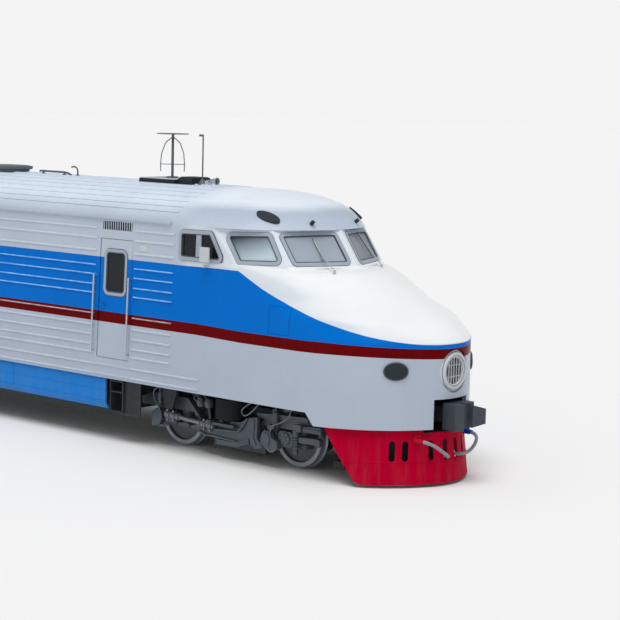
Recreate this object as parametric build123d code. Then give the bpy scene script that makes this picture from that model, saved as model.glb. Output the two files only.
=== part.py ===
from build123d import *
import math
import os

os.makedirs("parts", exist_ok=True)

# Head car of an electric multiple unit, millimetres. +X runs to the nose, +Y to the left, +Z up.
# The origin lies under the middle of the car, on the centre plane, at the lowest point of the wheels.

# Main sizes
coupled_length = 26536.0
front_overhang = 3868.0
rear_overhang = 3868.0
body_width = 3130.0
header_height = 325.0
roof_rise = 555.0
end_wall_gap = 250.0
sill_bottom = 1050.0
floor_top = 1380.0
floor_thickness = 80.0
lean_start = 1420.0
wall_lean = 0.04
wall = 70.0
roof_skin = 60.0
roof_top_radius = 3000.0
roof_shoulder = 1000.0

# Running gear
wheelbase = 2500.0
tread_diameter = 950.0
flange_height = 28.0
flange_width = 32.0
rim_width = 130.0
back_to_back = 1440.0
axle_diameter = 165.0
journal_diameter = 130.0
journal_reach = 1110.0
fit_gap = 0.4
slide_gap = 0.6

# Nose, lengths measured forward from the front pivot
nose_start = -200.0
nose_bottom = 860.0
hood_seam = 2120.0
glass_foot = 3110.0
nose_skin = 60.0
hood_skin = 110.0
dome_centre = -100.0

# Liveried band heights, which the ribs, windows and doors keep to
band_top = 3015.0
band_bottom = 2135.0

# Doors and windows
door_width = 770.0
door_height = 1940.0
door_thickness = 60.0
door_gap = 8.0
swing_gap = 24.0
crew_door_centre = -2185.0
entry_door_back = 1268.0
window_width = 1300.0
window_height = 800.0
window_pitch = 1900.0
window_back = 3318.0
machine_room = 8700.0
window_rim = 62.0
window_round = 120.0
glass_thickness = 16.0

hinge_pin = 9.0
hinge_barrel = 16.0
hinge_set_back = 22.0
hinge_heights = [1650.0, 2250.0, 3080.0]

front_pivot = coupled_length / 2 - front_overhang
rear_pivot = -coupled_length / 2 + rear_overhang
rear_end = -coupled_length / 2 + end_wall_gap
gutter_height = floor_top + door_height + header_height
roof_height = gutter_height + roof_rise
entry_door_centre = rear_end + entry_door_back
window_first = rear_end + window_back
window_count = 1 + int((front_pivot - machine_room - window_first) // window_pitch)
half_width = body_width / 2
axle_height = tread_diameter / 2 + flange_height
nose_x = front_pivot + nose_start
door_foot = floor_top
door_top = floor_top + door_height


def wall_y(z, inset=0.0):
    """Outer face of the side wall at a height: upright to lean_start, then leaning in."""
    return half_width - inset - wall_lean * max(z - lean_start, 0.0)


crew_hinge_x = front_pivot + crew_door_centre + door_width / 2 - door_gap
crew_hinge_y = wall_y(door_top - door_gap) - door_thickness - hinge_set_back


def block(x0, x1, y0, y1, z0, z1):
    """A box between two corners."""
    centre = ((x0 + x1) / 2, (y0 + y1) / 2, (z0 + z1) / 2)
    return Pos(*centre) * Box(abs(x1 - x0), abs(y1 - y0), abs(z1 - z0))


def rod(start, end, radius):
    """A round bar between two points."""
    a, b = Vector(*start), Vector(*end)
    return Plane(origin=a, z_dir=b - a) * Cylinder(radius, (b - a).length, align=(Align.CENTER, Align.CENTER, Align.MIN))


def disc_y(x, z, radius, y0, y1):
    """A cylinder across the car, between two widths."""
    return rod((x, y0, z), (x, y1, z), radius)


def side_prism(points, y0, y1):
    """A polygon drawn in side view as (x, z), thick from y0 to y1."""
    face = Plane.XZ * make_face(Polyline(*points, close=True))
    return Pos(0, y1, 0) * extrude(face, y1 - y0)


def cross_prism(points, x0, x1):
    """A polygon drawn across the car as (y, z), long from x0 to x1."""
    face = Plane.YZ * make_face(Polyline(*points, close=True))
    return Pos(x0, 0, 0) * extrude(face, x1 - x0)


def plan_prism(points, z0, z1):
    """A polygon drawn in plan as (x, y), tall from z0 to z1."""
    face = make_face(Polyline(*points, close=True))
    return Pos(0, 0, z0) * extrude(face, z1 - z0)


def rounded_outline(points, radius):
    """The edges of a flat polygon in space, each corner turned by an arc."""
    corners = [Vector(*p) for p in points]
    count = len(corners)
    arcs = []
    for i, corner in enumerate(corners):
        before = (corners[i - 1] - corner).normalized()
        after = (corners[(i + 1) % count] - corner).normalized()
        half = math.radians(before.get_angle(after)) / 2
        run = radius / math.tan(half)
        middle = corner + (before + after).normalized() * (radius / math.sin(half) - radius)
        arcs.append((corner + before * run, middle, corner + after * run))
    edges = []
    for i, (start, middle, end) in enumerate(arcs):
        edges.append(ThreePointArc(start, middle, end))
        edges.append(Line(end, arcs[(i + 1) % count][0]))
    return edges


def facet_panel(points, outward, inward, radius=0.0):
    """A flat plate on a polygon of points in space, reaching outward and inward of its plane."""
    a, b, c = (Vector(*p) for p in points[:3])
    normal = (b - a).cross(c - a).normalized()
    if radius:
        face = make_face(rounded_outline(points, radius))
    else:
        face = make_face(Polyline(*(Vector(*p) for p in points), close=True))
    moved = Pos(*(normal * -inward)) * face
    return extrude(moved, outward + inward, dir=normal)


def inset_polygon(points, margin):
    """The same flat polygon with every side moved in by a margin."""
    corners = [Vector(*p) for p in points]
    normal = (corners[1] - corners[0]).cross(corners[2] - corners[0]).normalized()
    count = len(corners)
    result = []
    for i, corner in enumerate(corners):
        before = (corner - corners[i - 1]).normalized()
        after = (corners[(i + 1) % count] - corner).normalized()
        turn = before.cross(after).dot(normal)
        shift = (after - before) * (margin / turn)
        result.append(tuple(corner + shift))
    return result


def mirrored(shape):
    return mirror(shape, about=Plane.XZ)


def both_sides(shapes):
    return [*shapes, *(mirrored(s) for s in shapes)]


def save(name, *shapes):
    """Writes one sub-part, its separate solids kept apart."""
    solids = [solid for shape in shapes for solid in shape.solids()]
    export_step(solids[0] if len(solids) == 1 else Compound(children=solids), f"parts/{name}.step")


# Roof section: a wide crown arc and a tighter shoulder arc down to the gutter
crown_centre = roof_height - roof_top_radius
shoulder_z = crown_centre + math.sqrt(roof_top_radius**2 - roof_shoulder**2)
gutter_y = wall_y(gutter_height)
lean_out = (roof_shoulder / roof_top_radius, (shoulder_z - crown_centre) / roof_top_radius)
eave_step = (gutter_y - roof_shoulder, gutter_height - shoulder_z)
shoulder_radius = -(eave_step[0] ** 2 + eave_step[1] ** 2) / (
    2 * (eave_step[0] * lean_out[0] + eave_step[1] * lean_out[1])
)
shoulder_centre = (
    roof_shoulder - shoulder_radius * lean_out[0],
    shoulder_z - shoulder_radius * lean_out[1],
)


def roof_point(angle, inset, centre, radius):
    return (centre[0] + (radius - inset) * math.sin(angle), centre[1] + (radius - inset) * math.cos(angle))


def roof_arcs(inset):
    """Right-hand crown and shoulder arcs of the roof, as (start, middle, end) points."""
    join = math.atan2(lean_out[0], lean_out[1])
    if inset:
        drop = (gutter_height - shoulder_centre[1]) / (shoulder_radius - inset)
        eave = math.acos(drop)
    else:
        eave = math.atan2(gutter_y - shoulder_centre[0], gutter_height - shoulder_centre[1])
    crown = [roof_point(a, inset, (0.0, crown_centre), roof_top_radius) for a in (0.0, join / 2, join)]
    shoulder = [
        roof_point(a, inset, shoulder_centre, shoulder_radius) for a in (join, (join + eave) / 2, eave)
    ]
    return crown, shoulder


def half_roof_face(inset):
    """Half of the roof section from the centre line to the gutter, closed along the gutter height."""
    crown, shoulder = roof_arcs(inset)
    outer = [ThreePointArc(*crown), ThreePointArc(*shoulder)]
    foot = Line(shoulder[2], (0.0, gutter_height))
    axis = Line((0.0, gutter_height), crown[0])
    return Plane.YZ * make_face(Curve() + [*outer, foot, axis])


def roof_tube(x0, x1, inset):
    half = Pos(x0, 0, 0) * extrude(half_roof_face(inset), x1 - x0)
    return half + mirrored(half)


def roof_half_width(z, inset=0.0):
    """Half width of the roof section at a height."""
    if z - crown_centre >= (roof_top_radius - inset) * lean_out[1]:
        return math.sqrt(max((roof_top_radius - inset) ** 2 - (z - crown_centre) ** 2, 0.0))
    return shoulder_centre[0] + math.sqrt((shoulder_radius - inset) ** 2 - (z - shoulder_centre[1]) ** 2)


# Dome over the cab: the roof section drawn in to a blunt tip. Columns: share of the rise at each level
dome_shares = [0.0, 0.20, 0.38, 0.53, 0.65, 0.75, 0.83, 0.90, 0.95, 0.985, 0.998]
dome_reach = 0.935
dome_bluntness = 1.084
dome_back = front_pivot + dome_centre


def dome_plan(z, inset):
    """Half width, tip arc centre and radius, and start of the turn of the dome at a height."""
    wide = roof_half_width(z, inset)
    small = wide * dome_bluntness
    return wide, dome_back + wide * dome_reach - small, small, dome_back + 1.0


def dome_solid(inset):
    """The closed dome, lofted through plan outlines that each follow the roof section."""
    top = roof_height - inset
    levels = [gutter_height + share * (top - gutter_height) for share in dome_shares]
    return Solid.make_loft([plan_outline(*dome_plan(z, inset), dome_back, z) for z in levels], ruled=True)


# Nose outlines in plan. Columns: height, tip, tip radius, where the side starts to turn in
nose_levels = [
    (hood_seam, 3570.0, 950.0, 1700.0),
    (2200.0, 3510.0, 945.0, 1640.0),
    (2300.0, 3400.0, 940.0, 1570.0),
    (2410.0, 3240.0, 930.0, 1500.0),
    (2530.0, 3000.0, 915.0, 1200.0),
    (2650.0, 2740.0, 900.0, 900.0),
    (2780.0, 2470.0, 980.0, 760.0),
    (2900.0, 2210.0, 1100.0, 620.0),
    (3010.0, 1960.0, 1300.0, 400.0),
    (glass_foot, 1535.0, 1600.0, 50.0),
]


def nose_outline(level, inset=0.0, height=None, extra=0.0):
    """Side line, turning arc and tip arc, tangent to each other, mirrored into one closed outline."""
    z, tip, tip_radius, turn_start = level
    z = z if height is None else height
    wide = wall_y(z, inset) + extra
    small = tip_radius - inset + extra
    return plan_outline(wide, front_pivot + tip - tip_radius, small, front_pivot + turn_start, nose_x, z)


def plan_arcs(wide, centre_x, small, turn_x):
    """The turning arc of a plan outline and the point where it joins the tip arc, right-hand side."""
    turn_radius = (small + wide) / 2 + (turn_x - centre_x) ** 2 / (2 * (wide - small))
    turn_y = -wide + turn_radius
    along = Vector(centre_x - turn_x, -turn_y).normalized()
    if turn_radius > small:
        join = Vector(centre_x, 0) + along * small
    else:
        along = along * -1
        join = Vector(turn_x, turn_y) + along * turn_radius
    return turn_y, turn_radius, join


def plan_outline(wide, centre_x, small, turn_x, back_x, z):
    """A closed plan outline: side lines, turning arcs and a tip arc, all tangent to each other."""
    turn_y, turn_radius, join = plan_arcs(wide, centre_x, small, turn_x)
    end_angle = math.atan2(join.Y - turn_y, join.X - turn_x)
    middle_angle = (-math.pi / 2 + end_angle) / 2
    bulge = (turn_x + turn_radius * math.cos(middle_angle), turn_y + turn_radius * math.sin(middle_angle))
    start = (back_x, -wide)
    right = [Line(start, (turn_x, -wide)), ThreePointArc((turn_x, -wide), bulge, (join.X, join.Y))]
    front = ThreePointArc((join.X, join.Y), (centre_x + small, 0), (join.X, -join.Y))
    left_arc = ThreePointArc((join.X, -join.Y), (bulge[0], -bulge[1]), (turn_x, wide))
    left = Line((turn_x, wide), (back_x, wide))
    back = Line((back_x, wide), start)
    return Pos(0, 0, z) * Wire([*right, front, left_arc, left, back])


def nose_lower(inset):
    base = nose_levels[0]
    feet = nose_outline(base, inset, nose_bottom)
    knee = nose_outline(base, inset, lean_start)
    seam = nose_outline(base, inset)
    return Solid.make_loft([feet, knee, seam], ruled=True)


def hood_loft(inset):
    return Solid.make_loft([nose_outline(level, inset) for level in nose_levels], ruled=True)


# Side walls
rib_heights = [
    3480.0, 3318.0, 3115.0,
    2873.0, 2722.0, 2560.0, 2417.0,
    2081.0,
    1898.0, 1736.0, 1579.0, 1420.0,
]
long_rib_heights = [1262.0, 1107.0]
rib_foot = 46.0
rib_crest = 18.0
rib_rise = 13.0
# Stretches of the wall with the close ribs, in front-pivot lengths
rib_gap_rear = -2660.0
rib_gap_front = -1750.0
rib_end = -860.0


def wall_profile(ribs):
    """Section of a side wall, outside with or without its pressed ribs."""
    outer = [(half_width, sill_bottom)]
    for z in sorted([*long_rib_heights, *(rib_heights if ribs else [])]):
        if z - rib_foot / 2 < lean_start < z + rib_foot / 2:
            z = lean_start + rib_foot / 2 + 4
        elif outer[-1][1] < lean_start < z:
            outer.append((half_width, lean_start))
        for dz, rise in ((-rib_foot / 2, 0), (-rib_crest / 2, rib_rise), (rib_crest / 2, rib_rise), (rib_foot / 2, 0)):
            outer.append((wall_y(z + dz) + rise, z + dz))
    if outer[-1][1] < lean_start:
        outer.append((half_width, lean_start))
    outer.append((gutter_y, gutter_height))
    inner = [(gutter_y - wall, gutter_height), (half_width - wall, lean_start), (half_width - wall, sill_bottom)]
    return [*outer, *inner]


def hinge(x, y, z, lug, knuckle):
    """One hinge at a height: a pin between two lugs that reach to a fixed plate, and a bored knuckle on the leaf.
    The lug and knuckle rectangles are plan spans (x0, x1, y0, y1) that reach into the piece that carries them."""
    fixed = rod((x, y, z - 70), (x, y, z + 70), hinge_pin)
    for low in (z - 70, z + 50):
        fixed += block(*lug, low, low + 20) + rod((x, y, low), (x, y, low + 20), hinge_barrel)
    moving = block(*knuckle, z - 40, z + 40) + rod((x, y, z - 40), (x, y, z + 40), hinge_barrel)
    moving -= rod((x, y, z - 80), (x, y, z + 80), hinge_pin + fit_gap)
    return fixed, moving


def crew_hinges():
    """Hinges of the left crew door, which opens inward about an upright line behind the leaning leaf."""
    x, y = crew_hinge_x, crew_hinge_y
    pairs = []
    for z in hinge_heights:
        lug = (x + door_gap + 1, x + 70, y - hinge_barrel, wall_y(z + 70) - wall + 5)
        lug_arm = block(x, x + 30, y - hinge_barrel, y + hinge_barrel - 4, z - 70, z - 50)
        lug_arm += block(x, x + 30, y - hinge_barrel, y + hinge_barrel - 4, z + 50, z + 70)
        knuckle = (x - 60, x - 2, y - hinge_barrel, wall_y(z + 40) - door_thickness + 5)
        fixed, moving = hinge(x, y, z, lug, knuckle)
        pairs.append((fixed + lug_arm, moving))
    return pairs


# Grille over the crew door. Ends ahead of the front pivot
grille_ends = (-2528.0, -1835.0)
grille_low, grille_top = 3465.0, 3600.0
grille_deep = 25.0
grille_slats = 13


def side_wall():
    """Left wall, cut for its doors and windows."""
    ribbed = wall_profile(True)
    plain = wall_profile(False)
    body = cross_prism(ribbed, rear_end, front_pivot + rib_gap_rear)
    body += cross_prism(plain, front_pivot + rib_gap_rear, front_pivot + rib_gap_front)
    body += cross_prism(ribbed, front_pivot + rib_gap_front, front_pivot + rib_end)
    body += cross_prism(plain, front_pivot + rib_end, nose_x)
    for x in window_centres():
        body -= window_hole(x)
    for x in (front_pivot + crew_door_centre, entry_door_centre):
        body -= door_hole(x)
    body -= cab_window_hole()
    grille_y = wall_y(grille_top)
    grille_front, grille_rear = front_pivot + grille_ends[1], front_pivot + grille_ends[0]
    body -= block(grille_rear, grille_front, grille_y - grille_deep, half_width + 60, grille_low, grille_top)
    slat_pitch = (grille_front - grille_rear) / grille_slats
    for i in range(grille_slats):
        x = grille_rear + (i + 0.5) * slat_pitch
        body += block(x - 9, x + 9, grille_y - grille_deep, grille_y, grille_low, grille_top)
    for fixed, moving in crew_hinges():
        body += fixed
    return body


def window_centres():
    return [window_first + i * window_pitch for i in range(window_count)]


def window_corners(x, margin):
    """Corners of a saloon window on the leaning wall face, left side, seen from outside."""
    low = band_bottom + (band_top - band_bottom - window_height) / 2
    high = low + window_height
    a, b = x - window_width / 2 + margin, x + window_width / 2 - margin
    low, high = low + margin, high - margin
    return [(b, wall_y(low), low), (a, wall_y(low), low), (a, wall_y(high), high), (b, wall_y(high), high)]


rim_lap = 38.0
rim_play = 6.0


def rim_hole(corners, radius, deep):
    """The cut for a rim: a rounded bed in front of its plane and a square-cornered hole through it."""
    bed = facet_panel(inset_polygon(corners, -rim_play), 60, 0, radius + rim_play)
    return bed + facet_panel(inset_polygon(corners, rim_lap), 1, deep)


def rim(corners, radius, proud, margin, deep):
    """A raised rim with rounded corners, its plug in the hole, and the lip that holds the pane."""
    ring = facet_panel(corners, proud, 0, radius) + facet_panel(inset_polygon(corners, rim_lap), 0, deep)
    ring -= facet_panel(inset_polygon(corners, margin), proud + 1, 10, max(radius - margin, 20))
    return ring - facet_panel(inset_polygon(corners, margin), -10, deep + 1)


def pane_behind(corners, margin):
    """The pane behind the lip of a rim."""
    return facet_panel(inset_polygon(corners, margin), -10, 10 + glass_thickness)


def window_hole(x):
    return rim_hole(window_corners(x, 0.0), window_round, wall + 60)


def door_hole(x):
    return block(x - door_width / 2, x + door_width / 2, half_width - 260, half_width + 60, door_foot, door_top)


# Cab side window: a trapezoid whose front edge leans with the windscreen, turned in a little towards the front.
# Columns: length ahead of the front pivot, height
cab_window_outline = [(255.0, 3095.0), (-750.0, 3100.0), (-760.0, 3575.0), (-60.0, 3590.0)]
cab_window_turn = 0.02
cab_window_proud = 24.0
cab_window_bar = (-385.0, -280.0)
cab_window_round = 95.0


def cab_window_point(x, z):
    return front_pivot + x, wall_y(z) - cab_window_turn * (x - cab_window_outline[1][0]), z


def cab_window_corners(margin):
    return inset_polygon([cab_window_point(x, z) for x, z in cab_window_outline], margin)


def cab_window_hole():
    return rim_hole(cab_window_corners(0.0), cab_window_round, wall + 60)


# Glasshouse over the hood. Its plan corners at the foot, front to back, left side
house_foot = [(1655.0, 0.0), (1200.0, half_width - 445.0), (400.0, half_width - 110.0)]
house_front_inset = 352.0
house_corner_inset = 170.0
house_skin = 60.0
house_margin = 66.0
house_round = 92.0
house_sink = 70.0
hood_play = 0.6


def offset_line(a, b, distance):
    """A plan line moved to its right-hand side, as a point and a direction."""
    along = (b - a).normalized()
    inward = Vector(along.Y, -along.X)
    return a + inward * distance, along


def cross_lines(first, second):
    (p, u), (q, v) = first, second
    across = u.X * v.Y - u.Y * v.X
    t = ((q.X - p.X) * v.Y - (q.Y - p.Y) * v.X) / across
    return p + u * t


def house_corners(height, inset):
    """Left half of the glasshouse plan at a height, front to back, each plane kept flat."""
    rise = (height - glass_foot) / (gutter_height - glass_foot)
    tip, shoulder, side = (Vector(front_pivot + x, y) for x, y in house_foot)
    back = Vector(nose_x, wall_y(glass_foot) - 6)
    lean = wall_lean * (gutter_height - glass_foot)
    front = offset_line(tip, shoulder, -rise * house_front_inset - inset)
    corner = offset_line(shoulder, side, -rise * house_corner_inset - inset)
    flank = offset_line(side, back, -rise * lean - inset)
    middle = (Vector(0, 0), Vector(1, 0))
    rear = (Vector(nose_x, 0), Vector(0, 1))
    return [
        cross_lines(middle, front), cross_lines(front, corner), cross_lines(corner, flank), cross_lines(flank, rear)
    ]


def house_frustum(inset):
    wires = []
    for height in (glass_foot - house_sink, gutter_height):
        half = house_corners(height, inset)
        ring = [*half, *(Vector(p.X, -p.Y) for p in reversed(half[1:]))]
        wires.append(Pos(0, 0, height) * Wire(Polyline(*ring, close=True).edges()))
    return Solid.make_loft(wires, ruled=True)


def house_point(first, axis, value, height):
    """The point of a glasshouse plane that has a given X or Y at a height."""
    a, b = house_corners(height, 0.0)[first:first + 2]
    along = b - a
    run = (value - a.X) / along.X if axis == "x" else (value - a.Y) / along.Y
    return a.X + along.X * run, a.Y + along.Y * run, height


# Outer corners of the panes' frames, from the foot round. Columns: plane, axis, place along it, height
front_pane = [(0, "y", 90.0, 3117.0), (0, "y", 1032.0, 3117.0), (0, "y", 1034.0, 3603.0), (0, "y", 95.0, 3617.0)]
corner_pane = [
    (1, "x", front_pivot + 1148.0, 3125.0), (1, "x", front_pivot + 455.0, 3107.0),
    (1, "x", front_pivot + 105.0, 3585.0), (1, "x", front_pivot + 826.0, 3610.0),
]
panes = [[house_point(*corner) for corner in outline] for outline in (front_pane, corner_pane)]


# Body shell
left_wall = side_wall()
save("side_wall_left", left_wall)
save("side_wall_right", mirrored(left_wall))

roof_rib_offsets = [150.0, 336.0, 555.0, 752.0, 939.0, 1106.0, 1235.0, 1330.0]
roof_rib_rise = 12.0
roof_rib_width = 30.0
roof_rib_end = front_pivot - 940


def roof_rib(y):
    """One lengthwise roof rib, square to the roof where it stands."""
    if abs(y) < roof_top_radius * lean_out[0]:
        turn = math.asin(abs(y) / roof_top_radius)
        z = crown_centre + roof_top_radius * math.cos(turn)
    else:
        turn = math.asin((abs(y) - shoulder_centre[0]) / shoulder_radius)
        z = shoulder_centre[1] + shoulder_radius * math.cos(turn)
    length = roof_rib_end - rear_end
    bar = Pos(0, 0, (roof_rib_rise - 14) / 2) * Box(length, roof_rib_width, roof_rib_rise + 14)
    return Pos(rear_end + length / 2, y, z) * Rot(-math.copysign(math.degrees(turn), y), 0, 0) * bar


dome_x = front_pivot + dome_centre
roof = roof_tube(rear_end, dome_x, 0.0) - roof_tube(rear_end - 1, dome_x + 1, roof_skin)
for offset in roof_rib_offsets:
    roof += roof_rib(offset)
    roof += roof_rib(-offset)
save("roof", roof)
save("cab_roof_dome", dome_solid(0.0) - dome_solid(roof_skin))

gutter = cross_prism(
    [(wall_y(gutter_height - 25), gutter_height - 25), (gutter_y + 34, gutter_height - 10),
     (gutter_y + 34, gutter_height + 18), (gutter_y - 14, gutter_height + 30), (gutter_y, gutter_height)],
    rear_end, front_pivot - 945,
)
gutter -= roof_tube(rear_end - 1, front_pivot, 0.0)
save("rain_gutters", *both_sides([gutter]))

# Nose and hood
sill_cut = side_prism(
    [(nose_x - 10, nose_bottom - 10), (front_pivot + 2130, nose_bottom - 10), (front_pivot + 2120, nose_bottom),
     (front_pivot + 1980, sill_bottom), (nose_x - 10, sill_bottom)],
    -half_width - 50, half_width + 50,
)
lamp_height = 1702.0
lamp_radius = 323.0
lamp_mouth = 240.0
lamp_collar = 282.0
pocket_half = 395.0
pocket_top = 1300.0
lamp_axis = (front_pivot + 3300, 0, lamp_height)
nose = nose_lower(0.0) - nose_lower(nose_skin) - sill_cut
nose -= block(front_pivot + 2900, front_pivot + 3700, -pocket_half, pocket_half, nose_bottom - 10, pocket_top)
nose -= rod(lamp_axis, (front_pivot + 3700, 0, lamp_height), lamp_radius)

# Oval marker lamps low on the nose. The place follows the turning arc of the nose
marker_plan = (front_pivot + 3158, -905.0)
marker_height = 1733.0
marker_turn = -43.3
marker_width = 364.0
marker_tall = 265.0


def oval_bar(x, y, z, turn, width, tall, length, pitch=0.0, roll=0.0):
    """An oval cylinder whose axis points outward at a turn from +X, tilted up by pitch and rolled."""
    plane = Plane(origin=(x, y, z)) * Rot(0, 0, turn) * Rot(0, 90 - pitch, 0)
    face = plane * Rot(0, 0, roll) * Ellipse(tall / 2, width / 2)
    return extrude(face, length, both=True)


marker_cut = oval_bar(*marker_plan, marker_height, marker_turn, marker_width, marker_tall, 160)
nose -= marker_cut
nose -= mirrored(marker_cut)
save("nose_shell", nose)
hood = hood_loft(0.0) - hood_loft(hood_skin)
save("hood", hood)

# Glasshouse with its panes
house = house_frustum(0.0) - house_frustum(house_skin)
for pane in panes:
    cut = rim_hole(pane, house_round, 140)
    house -= cut
    house -= mirrored(cut)
house_window = cab_window_hole()
house -= house_window
house -= mirrored(house_window)
hood_clear = hood_loft(-hood_play)
house -= hood_clear
house = max(house.solids(), key=lambda s: s.volume)
save("glasshouse_frame", house)

frames = []
glass = []
for pane in panes:
    frame = rim(pane, house_round, 10, house_margin, 40) - hood_clear
    frames.append(max(frame.solids(), key=lambda s: s.volume))
    glass.append(pane_behind(pane, house_margin))
side_pane = cab_window_corners(0.0)
bar_ends = [cab_window_point(x, z) for z in (3080.0, 3610.0) for x in cab_window_bar]
bar = facet_panel([bar_ends[1], bar_ends[0], bar_ends[2], bar_ends[3]], cab_window_proud - 6, 10)
side_opening = facet_panel(inset_polygon(side_pane, house_margin + 1), cab_window_proud + 2, 12)
side_frame = rim(side_pane, cab_window_round, cab_window_proud, house_margin, 40) + (bar & side_opening)
side_frame -= hood_clear
frames.append(max(side_frame.solids(), key=lambda s: s.volume))
glass.append(pane_behind(side_pane, house_margin))
for x in window_centres():
    corners = window_corners(x, 0.0)
    frames.append(rim(corners, window_round, 12, window_rim, wall + 4))
    glass.append(pane_behind(corners, window_rim))
save("window_frames", *both_sides(frames))
save("window_glass", *both_sides(glass))

# Underframe: floor, centre sills, bolsters over the bogies and their pivot pins
floor_half = half_width - wall
beam_half = 380.0
beam_width = 160.0
beam_bottom = 1060.0
pin_radius = 80.0
pin_foot = 560.0
pad_foot = 985.0
pad_radius = 210.0
pad_y = 1010.0
bolster_half = 380.0
end_post = 120.0
coupler_gap = 420.0
floor_bottom = floor_top - floor_thickness
floor_front = nose_x + 1400
underframe = block(rear_end, floor_front, -floor_half, floor_half, floor_bottom, floor_top)
for side in (-1, 1):
    y = side * beam_half
    underframe += block(rear_end, front_pivot + 2950, y - beam_width / 2, y + beam_width / 2, beam_bottom, floor_bottom)
for pivot in (front_pivot, rear_pivot):
    underframe += block(pivot - bolster_half, pivot + bolster_half, -1250, 1250, beam_bottom, floor_bottom)
    underframe += rod((pivot, 0, beam_bottom), (pivot, 0, pin_foot), pin_radius)
    for side in (-1, 1):
        underframe += rod((pivot, side * pad_y, beam_bottom), (pivot, side * pad_y, pad_foot), pad_radius)
for x in range(-8, 9):
    cross = x * 1000.0
    if abs(abs(cross) - front_pivot) > 900:
        underframe += block(cross - 40, cross + 40, -floor_half, floor_half, 1180, floor_bottom)
underframe += block(front_pivot + 2000, front_pivot + 2080, -1300, 1300, beam_bottom, floor_bottom)
headstock = block(front_pivot + 2950, front_pivot + 2975, -620, 620, 930, floor_bottom)
underframe += headstock - block(front_pivot + 2900, front_pivot + 3000, -300, 300, 900, 1200)
for side in (-1, 1):
    underframe += block(rear_end, rear_end + end_post, side * floor_half, side * coupler_gap, beam_bottom, floor_bottom)
# Jacking pads under the bolsters, lengths and widths between their faces
jack_x, jack_y = 250.0, 1190.0
jack_length, jack_width, jack_foot = 160.0, 120.0, 1035.0
for pivot, end in ((front_pivot, 1), (rear_pivot, -1)):
    for side in (-1, 1):
        pad = Pos(pivot + end * jack_x, side * jack_y, (jack_foot + beam_bottom) / 2)
        underframe += pad * Box(jack_length, jack_width, beam_bottom - jack_foot)
# Brackets over each bogie. Columns: rear and front end, inner and outer face, foot, lengths from the pivot
body_brackets = [
    (-1570.0, -1370.0, 1030.0, 1300.0, 1022.0),
    (965.0, 1165.0, 1030.0, 1300.0, 1022.0),
]
rod_bracket = [(-1310.0, 920.0), (-1240.0, 660.0), (-1080.0, 660.0), (-990.0, 920.0), (-990.0, floor_bottom),
               (-1310.0, floor_bottom)]
for turn in (0, 180):
    for side in (-1, 1):
        carried = side_prism(rod_bracket, *sorted((side * 1222, side * 1275)))
        for x0, x1, y0, y1, foot in body_brackets:
            carried += block(x0, x1, side * y0, side * y1, foot, floor_bottom)
        underframe += Rot(0, 0, turn) * (Pos(front_pivot, 0, 0) * carried)
save("underframe", underframe)

# Rear end wall with its gangway opening
gangway_half = 420.0
gangway_foot = floor_top
gangway_top = 3330.0
end_skin = 80.0
end_outline = [
    (floor_half, floor_top), (floor_half, lean_start), (gutter_y - wall, gutter_height),
    (-gutter_y + wall, gutter_height), (-floor_half, lean_start), (-floor_half, floor_top),
]
end_wall = cross_prism(end_outline, rear_end, rear_end + end_skin)
end_wall += roof_tube(rear_end, rear_end + end_skin, roof_skin)
end_wall -= block(rear_end - 50, rear_end + end_skin + 50, -gangway_half, gangway_half, gangway_foot - 1, gangway_top)
end_hinge_x = rear_end + end_skin + hinge_barrel + 4
end_hinge_y = -gangway_half + door_gap
end_hinges = []
for z in hinge_heights:
    lug = (rear_end + end_skin - 5, end_hinge_x + hinge_barrel, end_hinge_y - 70, end_hinge_y - door_gap - 1)
    arm = block(end_hinge_x - hinge_barrel + 4, end_hinge_x + hinge_barrel, end_hinge_y - 30, end_hinge_y, z - 70, z - 50)
    arm += block(end_hinge_x - hinge_barrel + 4, end_hinge_x + hinge_barrel, end_hinge_y - 30, end_hinge_y, z + 50, z + 70)
    knuckle = (rear_end + 55, end_hinge_x + hinge_barrel, end_hinge_y + 2, end_hinge_y + 60)
    fixed, moving = hinge(end_hinge_x, end_hinge_y, z, lug, knuckle)
    end_wall += fixed + arm
    end_hinges.append(moving)
save("rear_end_wall", end_wall)

bellows_reach = 190.0
bellows = block(rear_end - bellows_reach, rear_end, -gangway_half - 170, gangway_half + 170, 1310, 3460)
bellows -= block(rear_end - 400, rear_end + 10, -gangway_half - 40, gangway_half + 40, 1400, gangway_top)
save("gangway_bellows", bellows)

end_door = block(
    rear_end + 10, rear_end + 60, -gangway_half + door_gap, gangway_half - 14,
    gangway_foot + door_gap, gangway_top - door_gap,
)
for moving in end_hinges:
    end_door += moving
end_door_cut = block(rear_end - 10, rear_end + 100, -230, 230, 2450, 3100)
end_door_pane = block(rear_end + 25, rear_end + 45, -230, 230, 2450, 3100)
save("end_door", end_door - end_door_cut)
save("end_door_glass", end_door_pane)


# Crew and entry doors
def door_leaf(x, window_low, window_high, window_half, rear_gap):
    """A leaf in the plane of the leaning wall, left side, with its window opening."""
    gap = door_gap
    z0, z1 = door_foot + gap, door_top - gap
    outline = [
        (wall_y(z0), z0), (wall_y(lean_start), lean_start), (wall_y(z1), z1),
        (wall_y(z1) - door_thickness, z1), (wall_y(lean_start) - door_thickness, lean_start),
        (wall_y(z0) - door_thickness, z0),
    ]
    leaf = cross_prism(outline, x - door_width / 2 + rear_gap, x + door_width / 2 - gap)
    corners = [
        (x + window_half, wall_y(window_low), window_low), (x - window_half, wall_y(window_low), window_low),
        (x - window_half, wall_y(window_high), window_high), (x + window_half, wall_y(window_high), window_high),
    ]
    ring = rim(corners, window_round, 8, window_rim, door_thickness)
    pane = pane_behind(corners, window_rim)
    leaf = leaf - rim_hole(corners, window_round, door_thickness + 60)
    return leaf, ring, pane


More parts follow.
